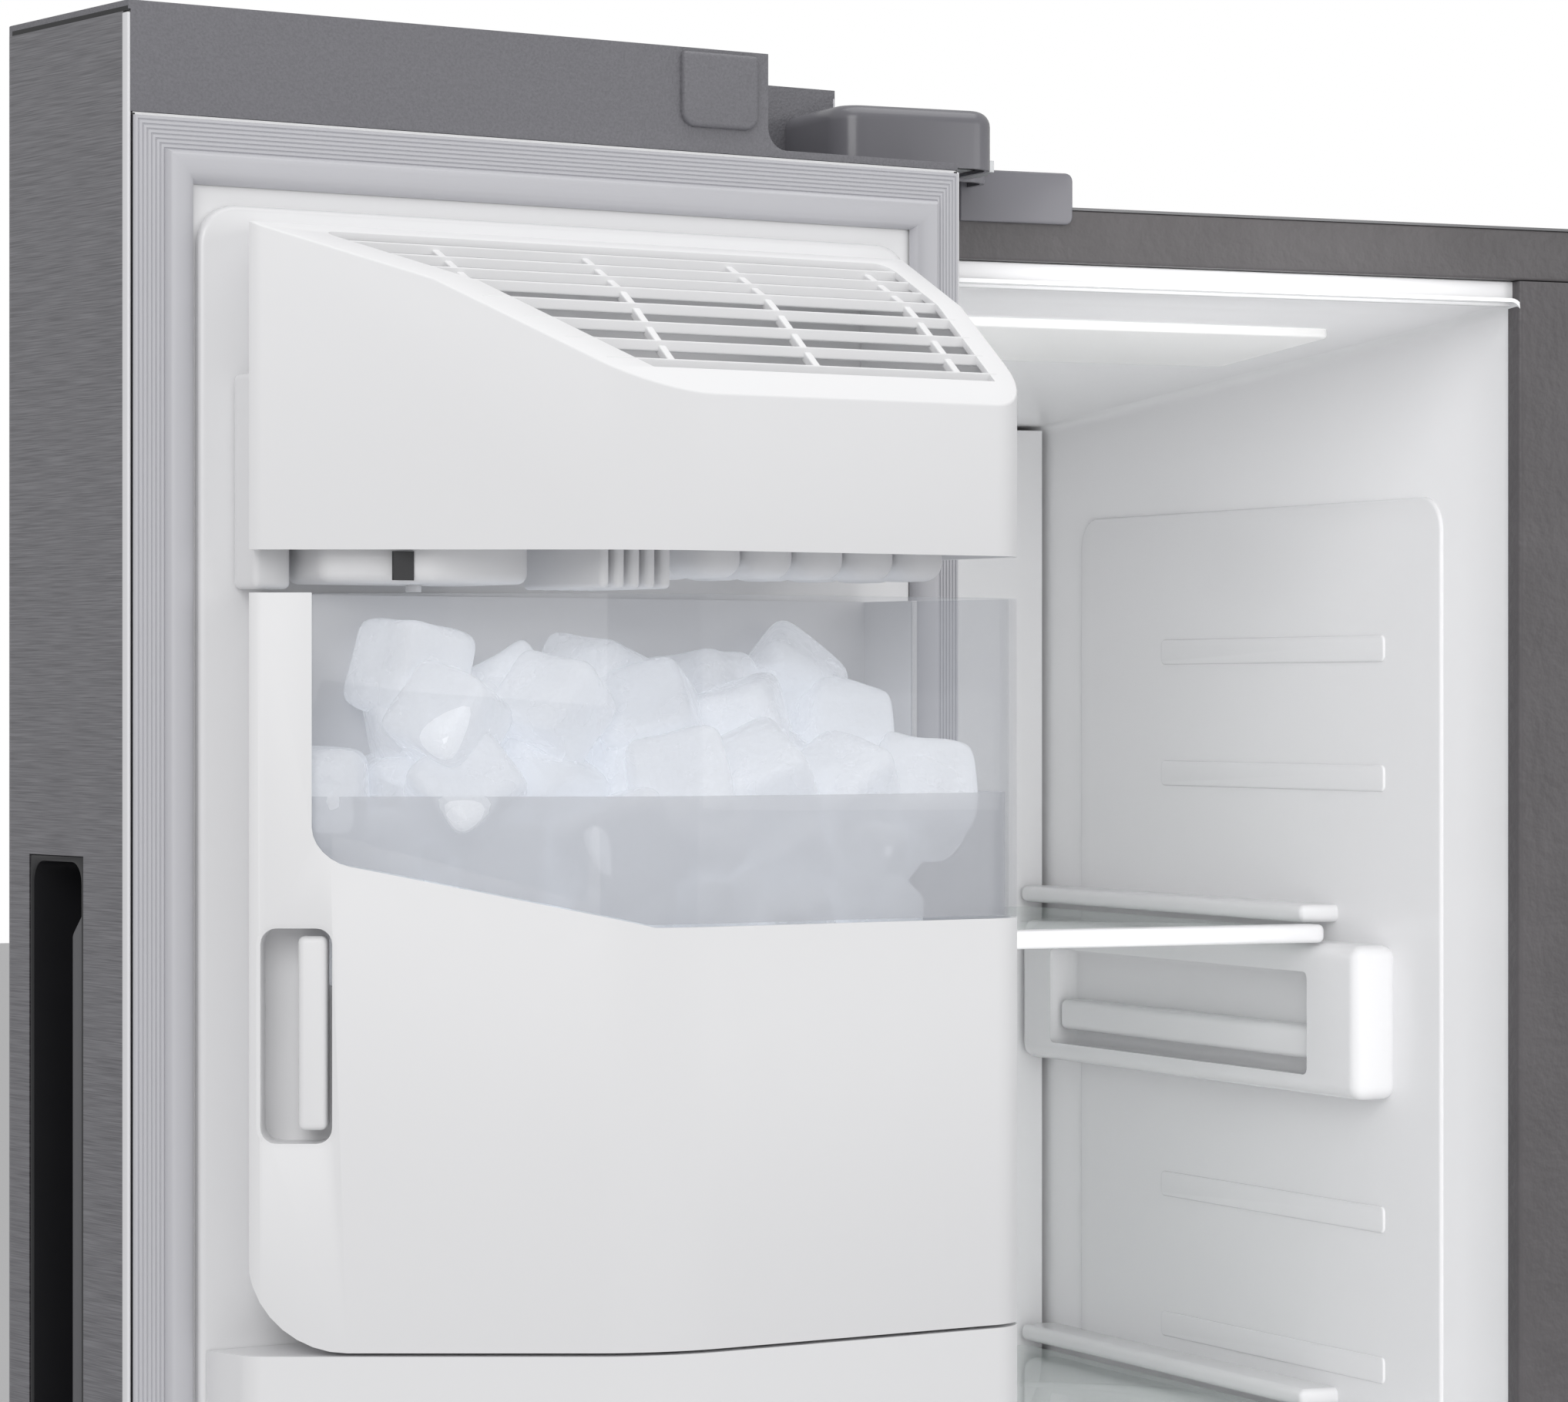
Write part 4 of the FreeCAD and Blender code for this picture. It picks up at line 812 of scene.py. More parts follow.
def makeTopCap(door):
    wide = door["width"]
    block = startBox("topCap", (1.05, 1 - cap["thick"], cap["low"]), (wide - 1.05, 0, cap["high"] - 0.5))
    roundEdges(block, behind, cap["corner"] - 1, 6)
    lid = startBox("lid", (0.02, 0.02 - cap["thick"], cap["high"] - cap["lip"]),
                   (wide - 0.02, 0, cap["high"]))
    roundEdges(lid, behind, cap["corner"], 6)
    combine(block, lid, "UNION")
    room = startBox("room", (-5, cap["wall"] - cap["thick"], cap["low"] + cap["ledge"]),
                    (cap["pocket"], 6, cap["high"] + 6))
    roundEdges(room, lambda edge: runsAlong(edge, 1) and edge.verts[0].co.x > 0.05
               and edge.verts[0].co.z < 1.76, 9, 6)
    roundEdges(room, lambda edge: runsAlong(edge, 2) and edge.verts[0].co.x > 0.05
               and edge.verts[0].co.y < -0.05, 14, 6)
    cutAway(block, room)
    soften(block, 1.6, 4, 50)
    pad = startBox("pad", (cap["pad"][0], -2, cap["padLow"]),
                   (cap["pad"][1], cap["padLift"], cap["high"] - 1.6))
    roundEdges(pad, lambda edge: runsAlong(edge, 1) and edge.verts[0].co.z < 1.76, 6, 6)
    soften(pad, 1.9, 5, 50)
    return [block, pad]


def makeCaps(door):
    topParts = makeTopCap(door)
    plate = startBox("bottomCap", (1.05, 1 - cap["thick"], 95), (door["width"] - 1.05, 0, 125))
    roundEdges(plate, behind, cap["corner"] - 1, 6)
    soften(plate, 1.5, 3, 50)
    if door is freezerDoor:
        sets = (("freezerTopCap", topParts, "freezer_door_top_cap"),
                ("freezerBottomCap", [plate], "freezer_door_bottom_cap"))
    else:
        sets = (("fridgeCaps", [*topParts, plate], "fridge_door_caps"),)
    for name, parts, node in sets:
        deliver(name, parts, door["body"], capGrey, (node,), door)


def makeHandle(door):
    edge = door["width"]
    box = startBox("handlePocket", (edge - handle["reach"], handle["near"], handle["low"]),
                   (edge - 0.3, handle["far"], handle["high"]))
    well = startBox("well", (edge - handle["reach"] + handle["rim"], handle["near"] + handle["rim"],
                             handle["low"] + handle["rim"]),
                    (edge + 5, handle["far"] - handle["rim"], handle["high"] - handle["rim"]))
    roundEdges(well, lambda item: runsAlong(item, 0), handle["corner"], 6)
    cutAway(box, well)
    soften(box, 0.7, 3, 50)
    strip = startBox("gripStrip", (edge - 12, handle["step"], handle["low"] + 4),
                     (edge - 1.6, handle["far"] - 2, handle["high"] - 5))
    cutPlane(strip, at(0, handle["step"], handle["high"] - 30), (0, -1, 1.4))
    soften(strip, 2.4, 4)
    deliver("gripStrip", [strip], door["body"], pocketGrey, (), door)
    deliver("handlePocket", [box], door["body"], darkPlastic,
            (door["name"] + "_door_handle",), door)


for door in (freezerDoor, fridgeDoor):
    makeHems(door)
    makeCaps(door)
    makeHandle(door)
print("door shells made")

# ---- hinge covers ----
hood = {"nose": ((-471, -78), (-395.5, -22)), "low": 1742.2, "high": 1767.5, "slope": (-18, -92),
        "corner": 13, "dome": 6.5, "body": ((-439, -26), (-372, 70)), "lip": ((-377.5, -3), (-321.5, 72)),
        "lipLow": 1727.6, "lipHigh": 1750.5}


def makeHood():
    (x0, y0), (x1, y1) = hood["nose"]
    nose = startBox("nose", (x0, y0, hood["low"]), (x1, y1 + 30, hood["high"]))
    slope = Vector((*hood["slope"], 0)).normalized()
    cutPlane(nose, at(x0, y0, 0), slope)
    (x2, y2), (x3, y3) = hood["body"]
    body = startBox("body", (x2, y2, hood["low"]), (x3, y3, hood["high"] - 0.3))
    for part in (nose, body):
        roundEdges(part, upright, hood["corner"], 8)
        roundEdges(part, lambda edge: all(vert.co.z > 1.7665 for vert in edge.verts)
                   and any(face.normal.z < 0.5 for face in edge.link_faces), hood["dome"], 7)
        pick(part, faces(2, -1))
        bpy.ops.mesh.inset(thickness=2.2 * mm, use_even_offset=True)
        bpy.ops.mesh.extrude_region_move(TRANSFORM_OT_translate={"value": (0, 0, 0.016)})
        leaveEdit()
    (x4, y4), (x5, y5) = hood["lip"]
    deck = startBox("deck", (x4, y4 + 4, hood["lipHigh"] - 14), (x5 - 1, y5, hood["lipHigh"] - 0.4))
    drop = startBox("drop", (x4, y4, hood["lipLow"]), (x5, y4 + 4.5, hood["lipHigh"]))
    roundEdges(drop, lambda edge: runsAlong(edge, 1) and edge.verts[0].co.x > -0.33, 3.5, 5)
    for plate in (deck, drop):
        soften(plate, 0.9, 3)
    return join("hingeCover", [nose, body, deck, drop])


def makeHingeCovers():
    left, right = makeHood(), makeHood()
    right.scale = (-1, 1, 1)
    settle(right)
    flipNormals(right)
    deliver("hingeCovers", [left, right], "cabinet", hingeGrey, ("hinge_covers",))


makeHingeCovers()
print("hinge covers made")

# ---- front rails ----
rail = {"half": 454.3, "top": 1734.5, "low": 1711, "deep": 11.8, "flange": 410.5, "foot": 60, "sill": 120,
        "post": (-86.5, -26.5)}


def makeRails():
    bars = [((-rail["half"], 0, rail["low"]), (rail["half"], rail["deep"], rail["top"])),
            ((-rail["flange"], 0, rail["foot"]), (rail["flange"], rail["deep"], rail["sill"]))]
    pieces = [softBox("rail", low, high, 1.4, 4) for low, high in bars]
    deliver("frontRails", pieces, "cabinet", railFinish, ("front_rails",))
    low, high = rail["post"]
    post = startBox("centreMullion", (low, 0.3, rail["sill"]), (high, rail["deep"] - 2, rail["low"] - 0.4))
    roundEdges(post, lambda edge: runsAlong(edge, 2) and edge.verts[0].co.y < 0.005, 2.2, 5)
    deliver("centreMullion", [post], "cabinet", mullionFinishWithPaintedShade, ("centre_mullion",))


makeRails()
print("rails made")

# ---- compartments ----
room = {"deep": 640, "taper": 7, "fall": 47, "rise": 12, "low": 120, "high": 1699.5, "wall": 1.8,
        "step": 48, "stepIn": 1.6, "corner": 32, "edge": 5, "humpFront": 480, "humpTop": 310, "lip": 11.3}
freezerRoom = {"name": "freezer", "left": -410.5, "right": -86.5, "back": 467, "node": "freezer_liner"}
fridgeRoom = {"name": "fridge", "left": -26.5, "right": 410.5, "back": 640, "node": "fridge_liner"}


def insideAt(space, y):
    part = y / room["deep"]
    return (space["left"] + room["taper"] * part, space["right"] - room["taper"] * part,
            room["low"] + room["rise"] * part, room["high"] - room["fall"] * part)


def makeLiner(space):
    left, right, low, high = insideAt(space, 0)
    piece = startBox(space["node"], (left, 0.8, low), (right, room["deep"], high))
    inner = insideAt(space, room["deep"])
    for axis, edge, target in ((0, left, inner[0]), (0, right, inner[1]), (2, low, inner[2]),
                               (2, high, inner[3])):
        pick(piece, lambda vert: vert.co.y > 0.6 and abs(vert.co[axis] - edge * mm) < 0.0005, "VERT")
        move = [0, 0, 0]
        move[axis] = (target - edge) * mm
        bpy.ops.transform.translate(value=move)
        leaveEdit()
    hump = startBox("hump", (left - 20, room["humpFront"], low - 20),
                    (right + 20, room["deep"] + 20, room["humpTop"]))
    cutAway(piece, hump)
    roundEdges(piece, lambda edge: any(face.normal.y > 0.9 for face in edge.link_faces)
               and edge.calc_face_angle_signed(0) > 0.4, room["corner"], 9)
    roundEdges(piece, lambda edge: abs((edge.verts[1].co - edge.verts[0].co).normalized().y) > 0.9
               and edge.verts[0].co.z > 1 and len(edge.link_faces) == 2
               and edge.calc_face_angle_signed(0) > 1.2, room["edge"], 6)
    for y in (room["step"], room["step"] + 2.5):
        pick(piece, lambda item: True)
        bpy.ops.mesh.bisect(plane_co=(0, y * mm, 0), plane_no=(0, 1, 0))
        leaveEdit()
    pick(piece, lambda vert: vert.co.y < (room["step"] + 1) * mm, "VERT")
    bpy.ops.transform.resize(value=(1 + room["stepIn"] / 200, 1, 1 + room["stepIn"] / 1000),
                             center_override=((left + right) / 2 * mm, 0, (low + high) / 2 * mm))
    leaveEdit()
    dropFaces(piece, faces(1, -1))
    flipNormals(piece)
    addModifier(piece, "SOLIDIFY", thickness=room["wall"] * mm, offset=-1)
    trims = makeWallPanels(space)
    collar = softBox("collar", (left - 0.5, 6, high - 0.4), (right + 0.5, 12, high + room["lip"]), 0.8, 3)
    deliver(space["name"] + "Liner", [piece, collar, *trims], "cabinet", linerWhite,
            (space["node"],), angle=40)


wallPanel = {"low": 480, "high": 1613, "front": 66, "margin": 40, "lift": 1.6, "corner": 16,
             "ribs": (1541, 1478, 1264, 1191), "ribTall": 13, "ribFront": 116, "ribBack": 337}


def wallPlate(space, side, y, z, lift, corner, edge):
    # a thin raised plate that lies along a tapered side wall
    left, right, _, _ = insideAt(space, (y[0] + y[1]) / 2)
    wall = left if side < 0 else right
    x0, x1 = sorted((wall - side * lift, wall + side * 3))
    plate = startBox("plate", (x0, y[0], z[0]), (x1, y[1], z[1]))
    roundEdges(plate, lambda item: runsAlong(item, 0), corner, 6)
    soften(plate, edge, 4)
    middle = at(wall, (y[0] + y[1]) / 2, 0)
    lean = Matrix.Rotation(side * math.atan2(room["taper"], room["deep"]), 4, "Z")
    plate.matrix_world = Matrix.Translation(middle) @ lean @ Matrix.Translation(-middle)
    settle(plate)
    return plate


def makeWallPanels(space):
    plates = []
    back = space["back"] - wallPanel["margin"]
    for side in (-1, 1):
        plates.append(wallPlate(space, side, (wallPanel["front"], back),
                                (wallPanel["low"], wallPanel["high"]), wallPanel["lift"],
                                wallPanel["corner"], 1.5))
        for z in wallPanel["ribs"]:
            plates.append(wallPlate(space, side,
                                    (wallPanel["ribFront"], min(wallPanel["ribBack"], back - 30)),
                                    (z - wallPanel["ribTall"] / 2, z + wallPanel["ribTall"] / 2),
                                    wallPanel["lift"] + 1.1, 3, 1))
    return plates


for space in (freezerRoom, fridgeRoom):
    makeLiner(space)
print("liners made")

# ---- freezer shelf supports ----
ledge = {"reach": 21, "fronts": {-1: 118, 1: 108}, "back": 464, "drop": 75, "round": 7, "dentFront": 154,
         "dentBack": 429, "dentLow": 66, "dentHigh": 14, "dentDeep": 15, "ribLow": 58, "ribHigh": 42,
         "shelves": (1397.7, 1160, 925, 700)}
glassRest = {"front": 160, "low": 9, "high": 17.8}


def makeSupport(side, z):
    left, right, _, _ = insideAt(freezerRoom, 280)
    wall = left if side < 0 else right
    inner = wall - side * ledge["reach"]
    low, high = sorted((wall + side * 4, inner))
    piece = softBox("support", (low, ledge["fronts"][side], z - ledge["drop"]),
                    (high, ledge["back"], z - 0.3), ledge["round"], 6)
    span = sorted((inner - side * 2, inner + side * ledge["dentDeep"]))
    dent = softBox("dent", (span[0], ledge["dentFront"], z - ledge["dentLow"]),
                   (span[1], ledge["dentBack"], z - ledge["dentHigh"]), 4.5, 5)
    cutAway(piece, dent)
    span = sorted((wall + side * 2, inner + side * 4))
    rib = softBox("rib", (span[0], ledge["dentFront"] + 4, z - ledge["ribLow"]),
                  (span[1], ledge["dentBack"] - 4, z - ledge["ribHigh"]), 3.5, 5)
    rest = softBox("rest", (low, glassRest["front"], z + glassRest["low"]),
                   (high, ledge["back"], z + glassRest["high"]), 3.5, 5)
    return [piece, rib, rest]


def makeShelves():
    supports, frames, panes = [], [], []
    left, right, _, _ = insideAt(freezerRoom, 0)
    for z in ledge["shelves"]:
        supports += makeSupport(-1, z) + makeSupport(1, z)
        frames.append(softBox("shelfFrame", (left + 19.5, 144, z - 0.2), (right - 19.5, 158, z + 8.8), 3, 5))
        panes.append(softBox("shelfPane", (left + 21, 157, z + 2.5), (right - 21, 461, z + 6.5), 0.6, 2))
    for pieces, name, slotName, finish, node in (
            (frames, "freezerShelfFrames", "white_plastic", satinWhite, "freezer_shelf_frames"),
            (panes, "freezerShelfGlass", "shelf_glass", shelfGlass, "freezer_shelf_glass")):
        deliver(name, pieces, "cabinet", finish, (node,))
    return supports


runner = {"freezer": ((390, 600), 22.5, 140, 457), "fridge": ((385, 600), 22.5, 140, 468), "high": -4.5,
          "low": -10, "cover": ((386, 600), 14, 142, 470, 7.5), "track": ((-15.5, -8.5), (392.5, 399.5)),
          "trackLow": 660, "trackHigh": 1500, "trackFront": 570.3}


def makeRunners():
    strips = []
    for space in (freezerRoom, fridgeRoom):
        heights, reach, front, back = runner[space["name"]]
        left, right = space["left"], space["right"]
        rows = [(z + runner["low"], z + runner["high"], reach, front, back) for z in heights]
        if space is fridgeRoom:
            coverHeights, coverReach, coverFront, coverBack, tall = runner["cover"]
            rows += [(z, z + tall, coverReach, coverFront, coverBack) for z in coverHeights]
        for low, high, out, start, stop in rows:
            for x0, x1 in ((left - 3, left + out), (right - out, right + 3)):
                strips.append(softBox("runner", (x0, start, low), (x1, stop, high), 1.8, 4))
    for x0, x1 in runner["track"]:
        track = softBox("track", (x0, runner["trackFront"], runner["trackLow"]),
                        (x1, 640, runner["trackHigh"]), 1, 3)
        slots = []
        for number in range(14):
            z = runner["trackLow"] + 30 + 60 * number
            slots.append(startBox("slot", ((x0 + x1) / 2 - 1.4, runner["trackFront"] - 2, z),
                                  ((x0 + x1) / 2 + 1.4, runner["trackFront"] + 6, z + 16)))
        cutAway(track, join("slots", slots))
        strips.append(track)
    return strips


deliver("shelfSupports", makeShelves() + makeRunners(), "cabinet", linerWhite,
        ("shelf_supports",))
print("freezer shelves made")

# ---- lights ----
lens = {"freezer": (46, 92, 200, 4), "fridge": (60, 120, 228, 4)}


def makeLenses():
    pieces = []
    for space in (freezerRoom, fridgeRoom):
        inset, front, back, thick = lens[space["name"]]
        left, right, _, high = insideAt(space, front)
        slope = math.atan2(-room["fall"], room["deep"])
        plate = startBox("lens", (left + inset, 0, -thick), (right - inset, back - front, 3))
        roundEdges(plate, upright, 6, 5)
        soften(plate, 1.4, 4)
        plate.rotation_euler = (slope, 0, 0)
        plate.location = at(0, front, high)
        settle(plate)
        pieces.append(plate)
    deliver("interiorLights", pieces, "cabinet", lensWhite, ("interior_lights",))


makeLenses()
print("lenses made")

# ---- ice maker works ----
tray = {"low": (70, 32, 1563), "high": (197, 92, 1590), "columns": 5, "rows": (35, 64), "cup": 24.4}
motor = {"low": 252, "high": 330, "front": 62, "base": 1560, "top": 1640,
         "slant": ((296, 62, 0), (24, 34, 0)), "hole": ((281.6, 26.6, 1555), (288.4, 33.4, 1568)),
         "brackets": (((334, 4.5, 1558), (350, 22, 1640), 2.5), ((60, 4.5, 1600), (334, 8.5, 1640), 1),
                      ((60, 8.5, 1574), (66, 70, 1612), 2)),
         "label": ((302, 57.5, 1561), (311, 58.6, 1572))}
arm = {"fingers": (206, 213, 220, 227, 234), "wide": 4.4, "near": 34, "far": 90, "low": 1558.5, "high": 1604}


def makeTray():
    body = softBox("iceTray", (tray["low"][0], tray["low"][1], 1580), tray["high"], 3, 4)
    cups = [body]
    for column in range(tray["columns"]):
        for n in tray["rows"]:
            a = 74 + tray["cup"] * column
            cups.append(softBox("cup", (a - 1, n - 1, tray["low"][2]), (a + 22, n + 26, 1588), 7.5, 6))
    deliver("iceTray", cups, "ice_tray", satinWhite, ("ice_tray",), freezerDoor)


def makeMotorBox():
    box = startBox("motorBox", (motor["low"], 8.5, motor["base"]),
                   (motor["high"], motor["front"], motor["top"]))
    point, slope = motor["slant"]
    cutPlane(box, at(*point), Vector(slope).normalized())
    soften(box, 4, 5)
    cutAway(box, startBox("hole", *motor["hole"]))
    brackets = [softBox("bracket", low, high, edge, 4) for low, high, edge in motor["brackets"]]
    deliver("motorBox", [box, *brackets], "freezer_door", satinWhite,
            ("icemaker_motor_box",), freezerDoor)
    label = startBox("motorLabel", *motor["label"])
    deliver("motorLabel", [label], "freezer_door", darkPlastic, (), freezerDoor, 0)


def makeLevelArm():
    fingers = [softBox("finger", (a, arm["near"], arm["low"]),
                       (a + arm["wide"], arm["far"], arm["high"]), 2, 4)
               for a in arm["fingers"]]
    deliver("levelArm", fingers, "ice_level_arm", satinWhite, ("ice_level_arm",),
            freezerDoor)


makeTray()
makeMotorBox()
makeLevelArm()
print("ice maker works made")

# ---- door bins ----
bins = {"left": 70.4, "right": 60.4, "near": 8, "far": 100, "tall": 110, "corner": 16, "foot": 6, "wall": 2.5,
        "trim": 14}


def makeBins(door):
    shells, trims = [], []
    right = door["width"] - bins["right"]
    for z in door["bins"]:
        shell = startBox("bin", (bins["left"], bins["near"], z), (right, bins["far"], z + bins["tall"]))
        roundEdges(shell, lambda edge: runsAlong(edge, 2) and edge.verts[0].co.y > 0.05, bins["corner"], 8)
        roundEdges(shell, lowerRim(z), bins["foot"], 4)
        openShell(shell, bins["wall"], faces(2, 1))
        soften(shell, 0.7, 3, 50)
        shells.append(shell)
        top = z + bins["tall"]
        trims.append(softBox("binTrim", (bins["left"] + 16, bins["far"] - 0.6, top - bins["trim"]),
                             (right - 16, bins["far"] + 1.2, top - 1), 0.8))
    deliver(door["name"] + "Bins", shells, door["body"], binClear,
            (door["name"] + "_door_bins",), door)
    deliver(door["name"] + "BinTrims", trims, door["body"], satinWhite, (), door)


for door in (freezerDoor, fridgeDoor):
    makeBins(door)
print("bins made")

# ---- drawers ----
drawer = {"front": 150, "wall": 2.5, "corner": 14, "foot": 8, "rim": 5, "rimTall": 4, "gripFront": 136}
drawers = {"freezer_drawer_upper": (freezerRoom, 24, 455, 425, 600, 60),
           "freezer_drawer_lower": (freezerRoom, 24, 455, 170, 390, 60),
           "crisper_upper": (fridgeRoom, 26, 560, 430, 600, 90),
           "crisper_lower": (fridgeRoom, 26, 460, 190, 385, 90)}


def makeDrawer(name, space, inset, back, low, high, grip):
    left, right = space["left"] + inset, space["right"] - inset
    tub = startBox(name, (left, drawer["front"], low), (right, back, high))
    roundEdges(tub, upright, drawer["corner"], 7)
    roundEdges(tub, lowerRim(low), drawer["foot"], 4)
    openShell(tub, drawer["wall"], faces(2, 1))
    rim = startBox("rim", (left - drawer["rim"], drawer["front"] + 2.5, high - drawer["rimTall"]),
                   (right + drawer["rim"], back, high))
    hole = startBox("hole", (left + 2.4, drawer["front"] + 3, high - 10),
                    (right - 2.4, back - 2.4, high + 10))
    roundEdges(hole, upright, 10, 6)
    cutAway(rim, hole)
    for part in (tub, rim):
        soften(part, 0.7, 3, 50)
    middle = (left + right) / 2
    handleBar = softBox("handle", (middle - grip, drawer["gripFront"], high - 27),
                        (middle + grip, drawer["front"] + 2, high - 19), 3, 5)
    deliver(name.replace("_", ""), [tub, rim, handleBar], name, binClear, (name,))


for name, values in drawers.items():
    makeDrawer(name, *values)
print("drawers made")

# ---- fridge shelves ----
shelf = {"heights": (1430, 1190, 950, 720), "inset": 14, "covers": ((392, 470), (606, 560)), "coverInset": 10,
         "front": (130, 142.5), "frontTall": 12, "rear": (559.5, 570), "rearTall": 16, "back": 560,
         "sides": (20, 24)}


def makeFridgeShelves():
    frames, panes = [], []
    left, right = fridgeRoom["left"], fridgeRoom["right"]
    x0, x1 = left + shelf["inset"], right - shelf["inset"]
    near, glassNear = shelf["front"]
    rearNear, rearFar = shelf["rear"]
    sideLeft, sideRight = shelf["sides"]
    for z in shelf["heights"]:
        bars = [((x0, near, z), (x1, glassNear, z + shelf["frontTall"]), 3.5),
                ((x0, rearNear, z), (x1, rearFar, z + shelf["rearTall"]), 2.5)]
        bars += [((x, glassNear - 1.5, z - 22), (x + 4, shelf["back"], z + 3), 1.2)
                 for x in (left + sideLeft, right - sideRight)]
        frames += [softBox("bar", low, high, edge, 4) for low, high, edge in bars]
        panes.append(startBox("pane", (x0 + 1, 142, z + 3), (x1 - 1, shelf["back"], z + 7)))
    inset = shelf["coverInset"]
    for z, back in shelf["covers"]:
        frames.append(softBox("bar", (left + inset, near, z),
                              (right - inset, glassNear, z + shelf["frontTall"]), 3.5, 4))
        panes.append(startBox("pane", (left + inset + 1, 142, z + 2), (right - inset - 1, back, z + 6)))
    for pane in panes:
        soften(pane, 0.8, 3)
    deliver("fridgeShelfFrames", frames, "cabinet", satinWhite, ("fridge_shelf_frames",))
    deliver("fridgeShelfGlass", panes, "cabinet", shelfGlass, ("fridge_shelf_glass",))


makeFridgeShelves()
print("fridge shelves made")

# ---- dispenser ----
dispenser = {"low": 91, "high": 301, "bottom": 985, "top": 1360, "split": 1255, "deep": 62, "face": -104,
             "middle": 196, "wall": 8, "frame": 4, "ears": (160, 226), "earLow": 1206}
marks = {"across": (131, 183, 235), "up": (1290, 1324), "wide": 10, "tall": 2.5}
paddle = {"half": 25, "low": 1120, "high": 1214, "front": 38.4, "back": 41.6, "axle": 74}
drip = {"inset": 9, "low": 10.5, "high": 24, "wall": 3, "bars": 12, "first": 20, "pitch": 14, "bar": 3}
dispenserFloor, dispenserBack = dispenser["bottom"], dispenser["face"] + dispenser["deep"]


def makeHousing():
    low, high, face, split = dispenser["low"], dispenser["high"], dispenser["face"], dispenser["split"]
    wall, frameWide = dispenser["wall"], dispenser["frame"]
    body = startBox("dispenser", (low, face + 0.1, dispenserFloor), (high, dispenserBack, dispenser["top"]))
    bay = startBox("bay", (low + wall, face - 4, dispenserFloor + 10),
                   (high - wall, dispenserBack - 4, split))
    roundEdges(bay, lambda edge: runsAlong(edge, 1), 12, 6)
    roundEdges(bay, lambda edge: all(vert.co.y > (face + 50) * mm for vert in edge.verts), 10, 5)
    head = startBox("head", (low + frameWide, face - 4, split + 5),
                    (high - frameWide, face + 5.2, dispenser["top"] - 5))
    roundEdges(head, lambda edge: runsAlong(edge, 1), 4, 4)
    cutAway(body, bay, head)
    soften(body, 1, 4, 50)
    nozzle = startCylinder("nozzle", 24, 36, (dispenser["middle"], face + 34, split - 16))
    pick(nozzle, faces(2, -1))
    bpy.ops.mesh.inset(thickness=4 * mm)
    bpy.ops.mesh.extrude_region_move(TRANSFORM_OT_translate={"value": (0, 0, 30 * mm)})
    leaveEdit()
    soften(nozzle, 0.8, 3, 50)
    ears = [softBox("ear", (a, face + 32, dispenser["earLow"]), (a + 6, face + 48, split + 2), 2, 4)
            for a in dispenser["ears"]]
    deliver("dispenserHousing", [body, nozzle, *ears], "freezer_door", pocketGrey,
            ("dispenser_housing",), freezerDoor)


def makeDispenserPanel():
    low, high, face = dispenser["low"] + 4.4, dispenser["high"] - 4.4, dispenser["face"]
    glass = startBox("dispenserPanel", (low, face + 0.4, dispenser["split"] + 5.4),
                     (high, face + 5, dispenser["top"] - 5.4))
    roundEdges(glass, lambda edge: runsAlong(edge, 1), 3.4, 4)
    soften(glass, 0.6, 3, 50)
    deliver("dispenserPanel", [glass], "freezer_door", blackGlass, ("dispenser_panel",),
            freezerDoor)
    icons = [startBox("icon", (a, face + 0.25, z), (a + marks["wide"], face + 0.45, z + marks["tall"]))
             for a in marks["across"] for z in marks["up"]]
    deliver("panelMarks", icons, "freezer_door", lensWhite, (), freezerDoor, 0)


def makePaddle():
    middle, half, face = dispenser["middle"], paddle["half"], dispenser["face"]
    blade = startBox("paddle", (middle - half, face + paddle["front"], paddle["low"]),
                     (middle + half, face + paddle["back"], paddle["high"]))
    roundEdges(blade, lambda edge: runsAlong(edge, 1) and edge.verts[0].co.z < 1.15, 16, 7)
    soften(blade, 1, 3, 50)
    axle = startCylinder("axle", 3, paddle["axle"], (middle, face + 40, paddle["high"] - 1),
                         (0, math.radians(90), 0), 32)
    deliver("dispenserPaddle", [blade, axle], "dispenser_paddle", darkPlastic,
            ("dispenser_paddle",), freezerDoor)


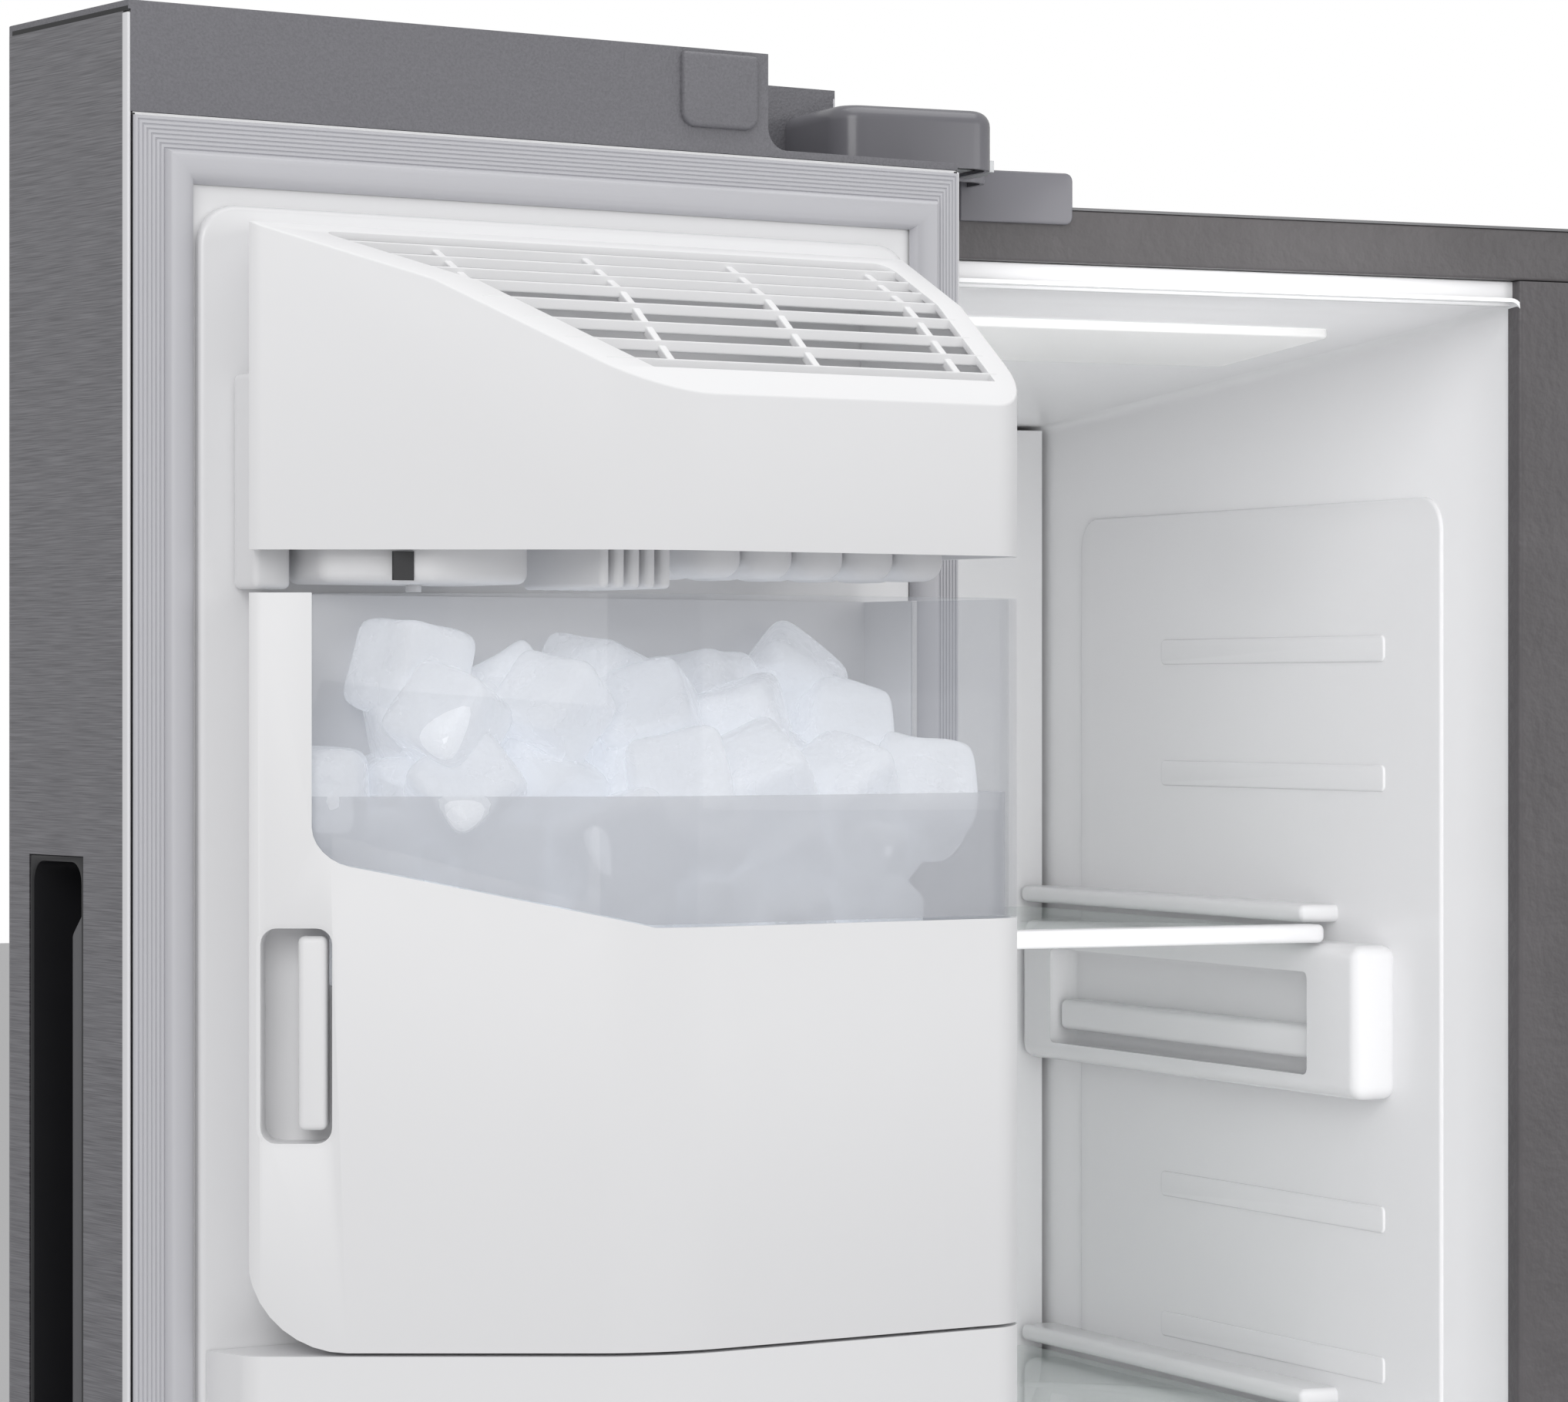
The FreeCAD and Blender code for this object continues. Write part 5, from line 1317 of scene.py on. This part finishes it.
def makeDripTray():
    low, high = dispenser["low"] + drip["inset"], dispenser["high"] - drip["inset"]
    near, far, wall = dispenser["face"] + 1, dispenserBack - 5, drip["wall"]
    body = startBox("dripTray", (low, near, dispenserFloor + drip["low"]),
                    (high, far, dispenserFloor + drip["high"]))
    basin = startBox("basin", (low + wall, near + wall, dispenserFloor + 13),
                     (high - wall, far - wall, dispenserFloor + 40))
    cutAway(body, basin)
    soften(body, 1, 3, 50)
    bars = [body]
    for number in range(drip["bars"]):
        a = dispenser["low"] + drip["first"] + drip["pitch"] * number
        bars.append(softBox("bar", (a, near + 2, dispenserFloor + 21),
                            (a + drip["bar"], far - 2, dispenserFloor + drip["high"]), 0.8, 3))
    deliver("dripTray", bars, "drip_tray", darkPlastic, ("drip_tray",), freezerDoor)


makeHousing()
makeDispenserPanel()
makePaddle()
makeDripTray()
print("dispenser made")

# ---- toe grille and feet ----
toe = {"half": 400, "count": 41, "pitch": 19.85, "bar": 6, "front": -22, "back": -19, "low": 14,
       "slotLow": 20, "slotHigh": 74, "high": 82}
foot = {"places": (-380, 380), "depth": 45, "pads": ((20, 8, 4), (5, 24, 19))}


def makeToe():
    half, front, back = toe["half"], toe["front"], toe["back"]
    bars = [((-half, front, toe["low"]), (half, back, toe["slotLow"])),
            ((-half, front, toe["slotHigh"]), (half, back, toe["high"]))]
    for number in range(toe["count"]):
        x = -half + number * toe["pitch"]
        bars.append(((x, front + 0.2, toe["slotLow"]), (x + toe["bar"], back, toe["slotHigh"])))
    bars += [((x, back, 60), (x + toe["bar"], 0, toe["high"])) for x in (-half, half - toe["bar"])]
    pieces = [softBox("toeBar", low, high, 0.8, 2) for low, high in bars]
    deliver("toeGrille", pieces, "cabinet", capGrey, ("toe_grille",))


def makeFeet():
    feet = []
    for x in foot["places"]:
        for radius, depth, z in foot["pads"]:
            part = startCylinder("foot", radius, depth, (x, foot["depth"], z))
            soften(part, 1, 3, 50)
            feet.append(part)
    deliver("levellingFeet", feet, "cabinet", blackRubber, ("levelling_feet",))


makeToe()
makeFeet()
print("toe grille made")

# ---- floor ----
def makeFloor():
    clearSelection()
    bpy.ops.mesh.primitive_plane_add(size=60, location=(0, 0, 0))
    floor = bpy.context.object
    floor.name = "floor"
    floorFinish, _, _ = newFinish("floor", (0.86, 0.86, 0.87), 0.6)
    paint(floor, floorFinish)


makeFloor()
